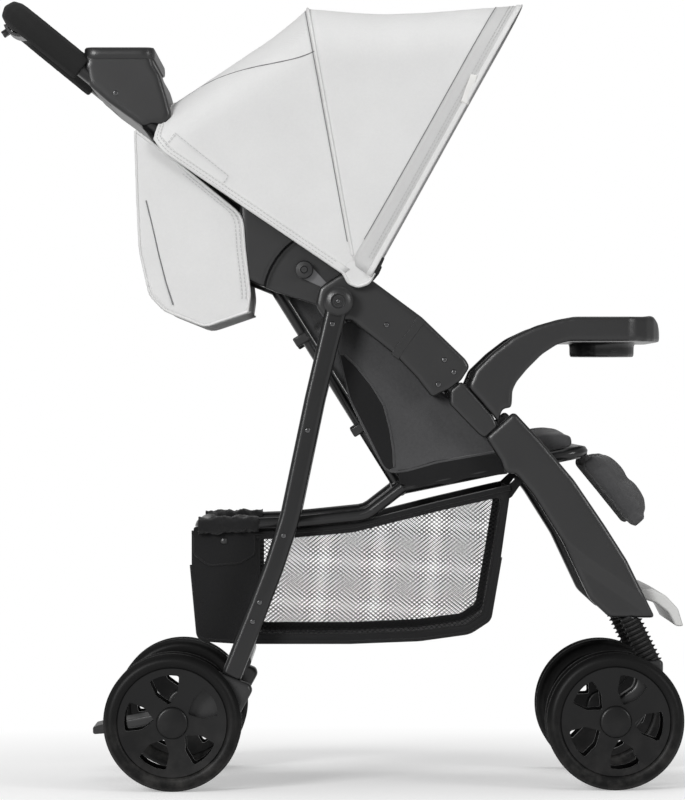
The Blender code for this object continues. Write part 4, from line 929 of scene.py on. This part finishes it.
# Pads: seat, backrest and leg rest, blown up like the real ones
padSizes = {
    "seat_pad": dict(name="seatPad", body="seat", fill=0.45, cap=0.008, channels=2, axis=11.5, origin=(0.0806, 0.3887),
                     start=0.030, length=0.2127, up=1),
    "backrest_pad": dict(name="backrestPad", body="backrest", fill=0.5, cap=0.009, channels=3, axis=122.0,
                         origin=(0.0806, 0.3887), start=0.045, length=0.375, up=-1),
    "leg_rest": dict(name="legRestPad", body="leg_rest", fill=0.6, cap=0.005, channels=0, axis=-51.0,
                     origin=(0.3184, 0.4371), start=0.008, length=0.118, up=1),
}
padCloth = {"shrink": 0.0035, "grid": 0.005, "pressure": 4, "frames": 20, "dentWidth": 0.0055, "dentDepth": 0.0065,
            "ripple": 0.0009}


def swollen(pad):  # the cloth blown up by air pressure
    swell = pad.modifiers.new("swell", "CLOTH")
    swell.settings.use_pressure = True
    swell.settings.uniform_pressure_force = padCloth["pressure"]
    swell.settings.quality = 4
    swell.settings.effector_weights.gravity = 0
    for number in range(1, padCloth["frames"] + 1):
        bpy.context.scene.frame_set(number)
    return applied(pad)


def buildPad(node, size):
    way = polar((0, 0), size["axis"], 1)
    along, face = Vector((way.x, 0, way.y)), Vector((-way.y, 0, way.x)) * size["up"]
    origin = Vector((size["origin"][0], 0, size["origin"][1])) + along * size["start"]
    work = merged(meshOf(nodes[node]), 0.00002)
    middle = sum((v.co for v in work.verts), Vector()) / len(work.verts)
    for v in work.verts:  # it swells again, so it starts a little small
        v.co += (middle - v.co).normalized() * padCloth["shrink"]
    pad = evenMesh(addPiece(size["name"], work, "dark_cloth"), padCloth["grid"])
    applied(pad)
    rest = [v.co.copy() for v in pad.data.vertices]
    base = min((v - origin).dot(face) for v in rest)
    swollen(pad)
    for v, before in zip(pad.data.vertices, rest):
        move = v.co - before
        if move.length > size["cap"]:
            v.co = before + move.normalized() * size["cap"]
        low = (v.co - origin).dot(face) - base
        if low < 0:  # flat where it lies on its tubes
            v.co -= face * low
        run = (v.co - origin).dot(along) / size["length"]
        high = (v.co - origin).dot(face) - base
        for k in range(size["channels"]):
            spot = (k + 1) / (size["channels"] + 1)
            dent = math.exp(-((run - spot) * size["length"] / padCloth["dentWidth"]) ** 2)
            v.co -= face * dent * min(padCloth["dentDepth"], high * 0.45)
        v.co += face * padCloth["ripple"] * noise.noise(v.co * 28) * min(1, high / 0.01)
    smooth = pad.modifiers.new("smoothing", "SUBSURF")
    smooth.levels = smooth.render_levels = 1
    applied(pad).data.shade_smooth()
    fitted(standFor(pad, node), "dark_cloth", size["body"])


for node, size in padSizes.items():
    buildPad(node, size)
bpy.context.scene.frame_set(1)
print("pads made")


# Wheels: twin moulded rims with five windows, and grooved tyres
wheelSizes = {
    "rear": dict(x=-0.2130, z=0.0890, pairY=0.2200, gap=0.0160, width=0.0260, turn=100),
    "front": dict(x=0.3585, z=0.0890, pairY=0.1920, gap=0.0180, width=0.0250, turn=66),
    "radius": 0.0890, "rimEdge": 0.0710, "cap": 0.0203, "windowIn": 0.0232, "windowOut": 0.0610,
    "windowHalf": 18.5, "windows": 5, "steps": 96, "shaft": 0.006,
    # Distance outwards from the tyre's foot and down from its crown, then in from its side
    "tyreFoot": [(0, 0.0042), (0.0014, 0.0020), (0.0045, 0.0008), (0.0085, 0.0001), (0.0125, 0.0012)],
    "tread": [(0.0032, 0.0040), (0.0018, 0.0062), (0.0022, 0.0067), (0.0009, 0.0078), (0.0004, 0.0090),
              (0.0018, 0.0094), (0.0018, 0.0101), (0.0001, 0.0106)],
}


def rimMesh(width, turn):  # one rim, its outer face towards +Y, from y = 0 to the width
    size = wheelSizes
    edge, cap, face, out = size["rimEdge"], size["cap"], width - 0.0022, size["windowOut"]
    profile = [(0, face + 0.0016), (cap - 0.0035, face + 0.0015), (cap - 0.0008, face + 0.0004), (cap, face - 0.0010),
               (cap + 0.0006, face - 0.0030), (0.030, face - 0.0032), (0.052, face - 0.0018),
               (0.0640, face - 0.0005), (edge - 0.0010, face), (edge, face - 0.0010), (edge - 0.0004, face - 0.0040),
               (edge - 0.0004, 0.003), (edge - 0.0044, 0.003), (edge - 0.0044, face - 0.0065),
               (0.0635, face - 0.0075), (0.030, face - 0.0085), (0.0125, face - 0.0085), (0.0125, 0.0), (0, 0.0)]
    rim = addPiece("rim", spun(profile, size["steps"]), "rim")
    window = [(size["windowIn"], 0, 3), (0.040, -20.5, 12), (out, -size["windowHalf"], 3.5), (out * 1.012, -6, 30),
              (out * 1.012, 6, 30), (out, size["windowHalf"], 3.5), (0.040, 20.5, 12)]
    holes = []
    for k in range(size["windows"]):
        centre = turn + 360 / size["windows"] * k
        corners = [polar((0, 0), centre + angle, reach) for reach, angle, r in window]
        hole = prism(roundedPath(corners, [r / 1000 for reach, angle, r in window], True), -0.01, width + 0.01)
        holes.append(addPiece("hole", hole, "rim"))
    return cutAway(rim, joined("windows", holes), lambda piece: edged(piece, 0.0007, 2, 50))


def tyreProfile(width):
    size, half = wheelSizes, width / 2
    side = [(size["rimEdge"] - 0.0006 + out, half - inset) for out, inset in size["tyreFoot"]]
    side += [(size["radius"] - down, half - inset) for down, inset in size["tread"]]
    return side + [(r, -y) for r, y in reversed(side)]


def moved(piece, matrix):
    piece.data.transform(matrix)
    if matrix.determinant() < 0:
        piece.data.flip_normals()
    return piece


def copyOf(piece, name):
    return addMesh(name, piece.data.copy(), piece.data.materials[0])


def buildWheels(place):
    size = wheelSizes[place]
    width, reach, shaftRadius = size["width"], size["gap"] + 0.004, wheelSizes["shaft"]
    rim, mirrored = rimMesh(width, size["turn"]), rimMesh(width, size["turn"])
    moved(mirrored, Matrix.Diagonal((1, -1, 1, 1)))  # the inner rim faces the other way, windows in line
    tyre = addPiece("tyre", spun(tyreProfile(width), wheelSizes["steps"], True), "tyre", sharp=38)
    for word, side in bothSides:
        outer, inner = (rim, mirrored) if side > 0 else (mirrored, rim)
        shaft = spun([(0, -reach), (shaftRadius, -reach), (shaftRadius, reach), (0, reach)], 24)
        parts = [moved(copyOf(outer, "rimOuter"), Matrix.Translation((0, side * size["gap"], 0))),
                 moved(copyOf(inner, "rimInner"), Matrix.Translation((0, -side * size["gap"], 0))),
                 addPiece("shaft", shaft, "rim")]
        centre = Matrix.Translation((size["x"], side * size["pairY"], size["z"]))
        rims = moved(joined(place + "Rims" + word, parts), centre)
        rims.data.set_sharp_from_angle(angle=math.radians(40))
        body = "%s_wheels_%s" % (place, word.lower())
        fitted(evened(standFor(rims, "%s_rims_%s" % (place, word.lower()))), "rim", body)
        for where, step in (("outer", side), ("inner", -side)):
            middle = Matrix.Translation((0, step * (size["gap"] + width / 2), 0))
            ring = moved(copyOf(tyre, place + "Tyre" + where.capitalize() + word), centre @ middle)
            fitted(standFor(ring, "%s_tyre_%s_%s" % (place, where, word.lower())), "tyre", body)
    for spare in (rim, mirrored, tyre):
        bpy.data.objects.remove(spare)


for place in ("rear", "front"):
    buildWheels(place)
print("wheels made")


# Bellows: ribbed rubber round each front strut
bellowsSizes = {"topZ": 0.2214, "footZ": 0.1680, "slope": 64.0, "swivelX": 0.4040, "y": 0.1950, "pitch": 0.0062,
                "tip": 0.0150, "shoulder": 0.0144, "root": 0.0116, "bore": 0.0104, "spare": 0.008}


def buildBellows():
    size = bellowsSizes
    lean = math.radians(90 - size["slope"])
    length = (size["topZ"] - size["footZ"]) / math.cos(lean) + 2 * size["spare"]
    ribs = round(length / size["pitch"])
    profile = [(size["bore"], 0), (size["root"], 0)]
    for k in range(ribs):
        for share, key in ((0.18, "root"), (0.40, "shoulder"), (0.48, "tip"), (0.56, "shoulder"), (0.78, "root")):
            profile.append((size[key], (k + share) * length / ribs))
    profile += [(size["root"], length), (size["bore"], length)]
    standing = Matrix.Rotation(-lean, 4, "Y") @ Matrix.Rotation(math.pi / 2, 4, "X")
    for word, side in bothSides:
        foot = Matrix.Translation((size["swivelX"], side * size["y"], size["footZ"]))
        work = spun(profile, 40, True)
        placed(work, foot @ standing @ Matrix.Translation((0, -size["spare"], 0)))
        for z, up in ((size["topZ"], 1), (size["footZ"], -1)):
            sliced(work, (0, 0, z), (0, 0, up))
            bmesh.ops.holes_fill(work, edges=[e for e in work.edges if e.is_boundary])
        sleeve = addPiece("bellows" + word, outwards(work), "bellows_rubber", sharp=50)
        fitted(standFor(sleeve, "strut_bellows_" + word.lower()), "bellows_rubber", "frame")


buildBellows()
print("bellows made")


# Hub caps, screws, clips, latch buttons and the raised band round each arm
smallParts = {
    "hub": (0.0006, 0.6315), "capFace": 0.2311, "capRadius": 0.0190, "latch": (-0.0437, 0.6726),
    "armScrews": [(63, 601), (138, 556), (150, 540), (130, 524)],
    "legScrews": [(-7, 602), (-39, 465), (-70, 329), (-101, 243), (-110, 218)],
    "hubScrew": (0.6, 631.5), "trayScrew": (-287.5, 901), "screwRadius": 0.0038, "hubScrewRadius": 0.0034,
    "clips": [(-47.5, 583), (27, 466)], "clipSize": (0.020, 0.0185, 0.013), "clipY": 0.1575, "clipTurn": -32,
    "latchProfile": [(0, 0.2136), (0.0040, 0.2136), (0.0044, 0.2122), (0.0050, 0.2136), (0.0105, 0.2130),
                     (0.0118, 0.2118), (0.0120, 0.2104), (0, 0.2104)],
    "collar": [(102.5, 613.5, 1), (113.5, 605.5, 1), (106, 596, 30), (84, 566, 30), (78.5, 556.5, 1), (68.5, 563.5, 1),
               (76, 575, 30), (97, 602, 30)],
}


def screwMesh(radius):
    work = bmesh.new()
    bmesh.ops.create_cone(work, cap_ends=True, segments=18, radius1=radius, radius2=radius * 0.72, depth=radius * 0.42)
    top = max(work.faces, key=lambda f: f.calc_center_median().z)
    bevelled(work, top.edges, radius * 0.13, 2)
    top = max(work.faces, key=lambda f: (round(f.calc_center_median().z, 6), f.calc_area()))
    bmesh.ops.inset_region(work, faces=[top], thickness=radius * 0.22)
    socket = bmesh.ops.extrude_discrete_faces(work, faces=[top])["faces"][0]
    bmesh.ops.translate(work, verts=socket.verts[:], vec=(0, 0, -radius * 0.24))
    bmesh.ops.scale(work, verts=socket.verts[:], vec=(0.9, 0.9, 1))
    bmesh.ops.remove_doubles(work, verts=work.verts, dist=0.000001)
    bmesh.ops.translate(work, verts=work.verts, vec=(0, 0, radius * 0.21))
    return work


def placeScrews(name, spots, y, body, radius=smallParts["screwRadius"]):
    pieces = []
    for side in (-1, 1):
        for x, z in spots:
            work = screwMesh(radius)
            place = Matrix.Translation((x / 1000, side * y, z / 1000)) @ Matrix.Rotation(side * -math.pi / 2, 4, "X")
            bmesh.ops.transform(work, matrix=place, verts=work.verts)
            pieces.append(addPiece(name, work, "screw_steel"))
    screws = joined(name, pieces)
    screws.data.shade_smooth()
    screws.data.set_sharp_from_angle(angle=math.radians(35))
    return fitted(screws, "latch_steel", body)


def discAt(profile, steps, place, side):  # a turned part that faces outwards on its side
    x, z = place
    return placed(spun(profile, steps), Matrix.Translation((x, 0, z)) @ Matrix.Diagonal((1, side, 1, 1)))


def buildSmallParts():
    size = smallParts
    face, r = size["capFace"], size["capRadius"]
    profile = [(0, face + 0.0042), (0.0052, face + 0.0042), (0.0056, face + 0.0036), (0.0082, face + 0.0036),
               (0.0090, face + 0.0066), (0.0100, face + 0.0073), (0.0150, face + 0.0064), (r - 0.0015, face + 0.0045),
               (r, face + 0.0028), (r, face), (0.005, face), (0.005, 0.1790), (0, 0.1790)]
    for word, side in bothSides:
        cap = addPiece("hubCap" + word, discAt(profile, 56, size["hub"], side), "plastic", sharp=32)
        fitted(standFor(cap, "hub_pin_" + word.lower()), "plastic", "frame")
        button = discAt(size["latchProfile"], 40, size["latch"], side)
        addPiece("latchButton" + word, button, "plastic", "handle", 32, "plastic")
    placeScrews("armScrews", size["armScrews"], 0.2104, "frame")
    placeScrews("hubScrews", [size["hubScrew"]], face + 0.0041, "frame", size["hubScrewRadius"])
    placeScrews("legScrews", size["legScrews"], 0.2307, "rear_legs")
    placeScrews("trayScrews", [size["trayScrew"]], 0.2086, "handle")
    clips = bmesh.new()
    lean = Matrix.Rotation(math.radians(size["clipTurn"]), 4, "Y") @ Matrix.Diagonal((*size["clipSize"], 1))
    for side in (-1, 1):
        for x, z in size["clips"]:
            place = Matrix.Translation((x / 1000, side * size["clipY"], z / 1000))
            bmesh.ops.create_cube(clips, size=1, matrix=place @ lean)
    clip = addPiece("backClips", clips, "plastic", "backrest", 30, "plastic")
    applied(edged(clip, 0.002, 2))
    for word, side in bothSides:
        collar = sideSlab("armCollar" + word, size["collar"], side, 0.1795, 0.2113, "plastic", 35)
        fitted(applied(edged(collar, 0.0007, 2)), "plastic", "frame")


buildSmallParts()
print("small parts made")


# Harness: shoulder and waist webbing with pads, a buckle and a crotch strap
harnessSizes = {
    "hinge": (0.0806, 0.3887), "backAngle": 122.0, "seatAngle": 11.5, "backLift": 0.0440, "seatLift": 0.0380,
    "webWidth": 0.025, "webThick": 0.0014, "shoulderY": 0.062, "shoulderTop": 0.300, "buckleAt": 0.072,
    "padWidth": 0.044, "padThick": 0.007, "padTop": 0.275, "padStep": (0.013, 0.0009), "buckleThick": 0.012,
    "buckle": [(-0.026, 0.020), (0.026, 0.020), (0.030, -0.004), (0.014, -0.024), (-0.014, -0.024), (-0.030, -0.004)],
}
backWay, seatWay = [polar((0, 0), harnessSizes[part], 1) for part in ("backAngle", "seatAngle")]


def backPoint(run, y, lift):
    return upright(Vector(harnessSizes["hinge"]) + backWay * run + Vector((backWay.y, -backWay.x)) * lift, y)


def seatPoint(run, y, lift):
    return upright(Vector(harnessSizes["hinge"]) + seatWay * run + Vector((-seatWay.y, seatWay.x)) * lift, y)


def webStrap(name, points, width, look, thick):
    at, across = sampler([Vector(p) for p in points]), Vector((0, 1, 0))

    def place(u, v):
        way = (at(min(1, v + 0.01)) - at(max(0, v - 0.01))).normalized()
        return at(v) + (across - way * across.dot(way)).normalized() * (u - 0.5) * width
    return gridSheet(name, 4, 40, place, look, thick=thick)


def buildHarness():
    size = harnessSizes
    lift, shoulder, buckle, top = size["backLift"], size["shoulderY"], size["buckleAt"], size["shoulderTop"]
    straps, pads = [], []
    for side in (-1, 1):
        y = side * shoulder
        corners = [backPoint(top, y, lift - 0.012), backPoint(top - 0.006, y, lift + 0.004),
                   backPoint(0.170, y * 0.86, lift + 0.006), backPoint(buckle + 0.020, side * 0.018, lift + 0.008)]
        path = roundedPath(corners, (0, 0.006, 0.06, 0), stepDegrees=6)
        straps.append(webStrap("shoulderStrap", path, size["webWidth"], "webbing", size["webThick"]))
        down, inwards = size["padStep"]
        path = [backPoint(size["padTop"] - down * k, side * (shoulder - inwards * k), lift + 0.0085) for k in range(9)]
        pad = webStrap("shoulderPad", path, size["padWidth"], "dark_cloth", size["padThick"])
        pads.append(applied(edged(pad, 0.0025, 3, 30)))
        corners = [backPoint(0.060, side * 0.120, lift - 0.014), backPoint(0.064, side * 0.105, lift + 0.004),
                   backPoint(buckle, side * 0.022, lift + 0.008)]
        waist = sampler(roundedPath(corners, (0, 0.01, 0), stepDegrees=6))

        def waistPlace(u, v, waist=waist):
            return waist(v) + upright(backWay, 0) * (u - 0.5) * size["webWidth"]
        straps.append(gridSheet("waistStrap", 4, 20, waistPlace, "webbing", thick=size["webThick"]))
    harness = fitted(joined("harnessStraps", straps), "black_cloth")
    cushions = fitted(joined("harnessPads", pads), "dark_cloth")
    start, end = backPoint(0.0, 0, lift), backPoint(0.10, 0, lift)
    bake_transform(harness)
    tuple(start)
    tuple(end)
    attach(cushions, "backrest")
    rise = size["seatLift"]
    crotch = roundedPath([seatPoint(0.118, 0, rise - 0.014), seatPoint(0.116, 0, rise + 0.002),
                          seatPoint(0.078, 0, rise + 0.006), backPoint(buckle - 0.014, 0, lift + 0.008)],
                         (0, 0.006, 0.03, 0), stepDegrees=6)
    strap = webStrap("crotchStrap", crotch, size["webWidth"], "webbing", size["webThick"])
    fitted(strap, "black_cloth", "seat")
    buildBuckle(lift)


def buildBuckle(lift):
    size, thick = harnessSizes, harnessSizes["buckleThick"]
    work = bmesh.new()
    ring = [work.verts.new((p.x, p.y, 0)) for p in roundedPath(size["buckle"], 0.008, True)]
    grown = bmesh.ops.extrude_face_region(work, geom=[work.faces.new(ring)])
    top = [v for v in grown["geom"] if isinstance(v, bmesh.types.BMVert)]
    bmesh.ops.translate(work, verts=top, vec=(0, 0, thick))
    outwards(work)
    bevelled(work, [e for e in work.edges if all(v.co.z > thick - 0.001 for v in e.verts)], 0.0035, 3)
    bmesh.ops.create_cone(work, cap_ends=True, segments=28, radius1=0.0095, radius2=0.0088, depth=0.004,
                          matrix=Matrix.Translation((0, 0, thick + 0.001)))
    bevelled(work, [e for e in work.edges if all(v.co.z > thick + 0.0028 for v in e.verts)], 0.0008, 2)
    turn = Matrix(((0, backWay.x, backWay.y), (1, 0, 0), (0, backWay.y, -backWay.x))).to_4x4()
    placed(work, Matrix.Translation(backPoint(size["buckleAt"], 0, lift + 0.004)) @ turn)
    addPiece("harnessBuckle", work, "plastic", "recline_hinge", 35, "plastic")


buildHarness()
print("harness made")


# Trim on the parent's tray: a raised band round the top, and rings in the cup wells
trayTrims = {
    "plan": [(-0.3262, -0.2093), (-0.2392, -0.2093), (-0.2392, 0.2093), (-0.3262, 0.2093)], "corner": 0.012,
    "band": [(-0.004, 0.9455), (0.0012, 0.9455), (0.0022, 0.9470), (0.0024, 0.9520), (0.0018, 0.9580),
             (0.0004, 0.9600), (-0.0020, 0.9604), (-0.0040, 0.9590)],
    "ring": [(0.0338, 0.9548), (0.0352, 0.9590), (0.0372, 0.9600), (0.0392, 0.9586), (0.0396, 0.9560),
             (0.0350, 0.9540)],
    "cups": [(-0.281, -0.105), (-0.281, 0.105)],
}


def ringBand(plan, profile, columns=140):  # a closed band of one section all round a plan outline
    at, work, loops = sampler(plan + [plan[0]]), bmesh.new(), []
    for k in range(columns):
        here, way = at(k / columns), at(min(1, k / columns + 0.002)) - at(max(0, k / columns - 0.002))
        out = Vector((way.y, -way.x)).normalized()
        loops.append([work.verts.new((here.x + out.x * o, here.y + out.y * o, z)) for o, z in profile])
    for a, b in zip(loops, loops[1:] + loops[:1]):
        for j in range(len(profile)):
            k = (j + 1) % len(profile)
            work.faces.new((a[j], b[j], b[k], a[k]))
    return outwards(work)


def buildTrayTrims():
    size = trayTrims
    band = ringBand(roundedPath(size["plan"], size["corner"], True), size["band"])
    addPiece("trayBand", band, "plastic", "handle", 50, "plastic")
    rings = []
    for x, y in size["cups"]:
        turn = Matrix.Translation((x, y, 0)) @ Matrix.Rotation(math.pi / 2, 4, "X")
        rings.append(addPiece("trayRing", placed(spun(size["ring"], 56, True), turn), "plastic"))
    fitted(joined("trayCupRims", rings), "plastic", "handle")


buildTrayTrims()
print("tray trims made")


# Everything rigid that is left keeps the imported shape, merged, with even shading and its finish
def camel(name):
    first, *rest = name.split("_")
    return first + "".join(word.capitalize() for word in rest)


softSizes = {  # mouldings whose edges round off: grid size, smoothing passes
    "arm_housing": (0.0017, 12), "front_leg_cover": (0.0017, 12), "handle_housing": (0.0017, 12),
    "knee_sleeve": (0.0015, 8), "child_tray": (0.0026, 6), "parent_tray": (0.0025, 6), "rear_leg": (0.0016, 6),
    "rear_wheel_housing": (0.0015, 8), "caster_fork": (0.0015, 6), "foam_grip": (0.0022, 6),
    "footrest_step": (0.0016, 3),
}


creaseSizes = {  # the leg cover's lower face leans in below this slanting line
    "line": [(0.2200, 0.3880), (0.2881, 0.3285), (0.3242, 0.2988), (0.3630, 0.2717), (0.4300, 0.2250)],
    "outside": 0.2000, "deepest": 0.0042, "slope": 0.22,
}


def soften(node):
    grid, passes = next(row for start, row in softSizes.items() if node.startswith(start))
    piece = addPiece(camel(node), merged(meshOf(nodes[node]), 0.00002), slotOf[node])
    evenMesh(piece, grid * (1))
    rounding = piece.modifiers.new("rounding", "SMOOTH")
    rounding.factor = 0.5
    rounding.iterations = passes
    applied(piece)
    if node.startswith("front_leg_cover"):
        crease(piece.data)
    piece.data.shade_smooth()
    return piece


def crease(mesh):
    size = creaseSizes
    for v in mesh.vertices:
        if abs(v.co.y) < size["outside"]:
            continue
        for (x0, z0), (x1, z1) in zip(size["line"], size["line"][1:]):
            below = z0 + (z1 - z0) * (v.co.x - x0) / (x1 - x0) - v.co.z
            if x0 <= v.co.x < x1 and below > 0:
                v.co.y -= math.copysign(min(size["deepest"], below * size["slope"]), v.co.y)
                break


def polish(node):
    work = meshOf(nodes[node])
    bmesh.ops.remove_doubles(work, verts=work.verts, dist=0.00002)
    bmesh.ops.dissolve_limit(work, angle_limit=math.radians(0.4), verts=work.verts, edges=work.edges)
    return evened(addPiece(camel(node), work, slotOf[node], sharp=48))


for node in nodes:
    if node not in madeOf:
        piece = soften(node) if node.startswith(tuple(softSizes)) else polish(node)
        fitted(standFor(piece, node), slotOf[node], nodes[node]["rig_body"])
print("rigid parts finished")


# Floor, light and backdrop
stageSizes = {
    "floor": 14.0, "clear": 0.55, "blank": 1.15, "floorColour": (0.80, 0.80, 0.80), "lift": 0.30, "skyLevel": 0.46,
    "aim": (0, 0, 0.45),
    "lamps": {"key": dict(place=(-2.6, -4.9, 2.1), size=1.9, power=205),
              "side": dict(place=(3.4, -3.4, 1.8), size=1.6, power=55),
              "top": dict(place=(0.3, 0.9, 4.0), size=2.2, power=16)},
}


def shownRays(tree):  # 1 for what the camera sees, straight or in gloss and glass
    path = tree.nodes.new("ShaderNodeLightPath")
    seen = mathNode(tree, "MAXIMUM", path.outputs["Is Camera Ray"], path.outputs["Is Glossy Ray"])
    return mathNode(tree, "MAXIMUM", seen, path.outputs["Is Transmission Ray"])


def floorPaint():
    size = stageSizes
    surface = bpy.data.materials.new("floorPaint")
    surface.use_nodes = True
    tree = surface.node_tree
    shader = tree.nodes["Principled BSDF"]
    shader.inputs["Base Color"].default_value = (*size["floorColour"], 1)
    shader.inputs["Roughness"].default_value = 0.9
    glow = tree.nodes.new("ShaderNodeEmission")
    tree.links.new(mathNode(tree, "MULTIPLY", shownRays(tree), size["lift"]), glow.inputs["Strength"])
    both = tree.nodes.new("ShaderNodeAddShader")
    tree.links.new(shader.outputs[0], both.inputs[0])
    tree.links.new(glow.outputs[0], both.inputs[1])
    place = tree.nodes.new("ShaderNodeTexCoord").outputs["Object"]  # white from a little way off
    away = tree.nodes.new("ShaderNodeVectorMath")
    away.operation = "LENGTH"
    tree.links.new(place, away.inputs[0])
    far = spread(tree, away.outputs["Value"], size["clear"], size["blank"])
    white = tree.nodes.new("ShaderNodeEmission")
    tree.links.new(shownRays(tree), white.inputs["Strength"])
    whole = tree.nodes.new("ShaderNodeMixShader")
    tree.links.new(far, whole.inputs[0])
    tree.links.new(both.outputs[0], whole.inputs[1])
    tree.links.new(white.outputs[0], whole.inputs[2])
    tree.links.new(whole.outputs[0], tree.nodes["Material Output"].inputs["Surface"])
    return surface


def buildStage():
    size = stageSizes
    looks["floorPaint"] = floorPaint()
    work = bmesh.new()
    bmesh.ops.create_grid(work, x_segments=1, y_segments=1, size=size["floor"] / 2)
    addPiece("floor", work, "floorPaint")
    world = bpy.data.worlds.new("studio")
    bpy.context.scene.world = world
    world.use_nodes = True
    sky = world.node_tree
    back = sky.nodes["Background"]
    back.inputs["Color"].default_value = (1, 1, 1, 1)
    seen = sky.nodes.new("ShaderNodeLightPath").outputs["Is Camera Ray"]
    level = spread(sky, seen, 0, 1, size["skyLevel"], 1.0)
    sky.links.new(level, back.inputs["Strength"])
    for name, row in size["lamps"].items():
        data = bpy.data.lights.new(name + "Light", "AREA")
        data.shape = "DISK"
        data.size = row["size"]
        data.energy = row["power"]
        lamp = bpy.data.objects.new(name + "Light", data)
        lamp.location = row["place"]
        lamp.rotation_euler = (Vector(size["aim"]) - lamp.location).to_track_quat("-Z", "Y").to_euler()
        bpy.context.scene.collection.objects.link(lamp)


buildStage()
print("stage made")
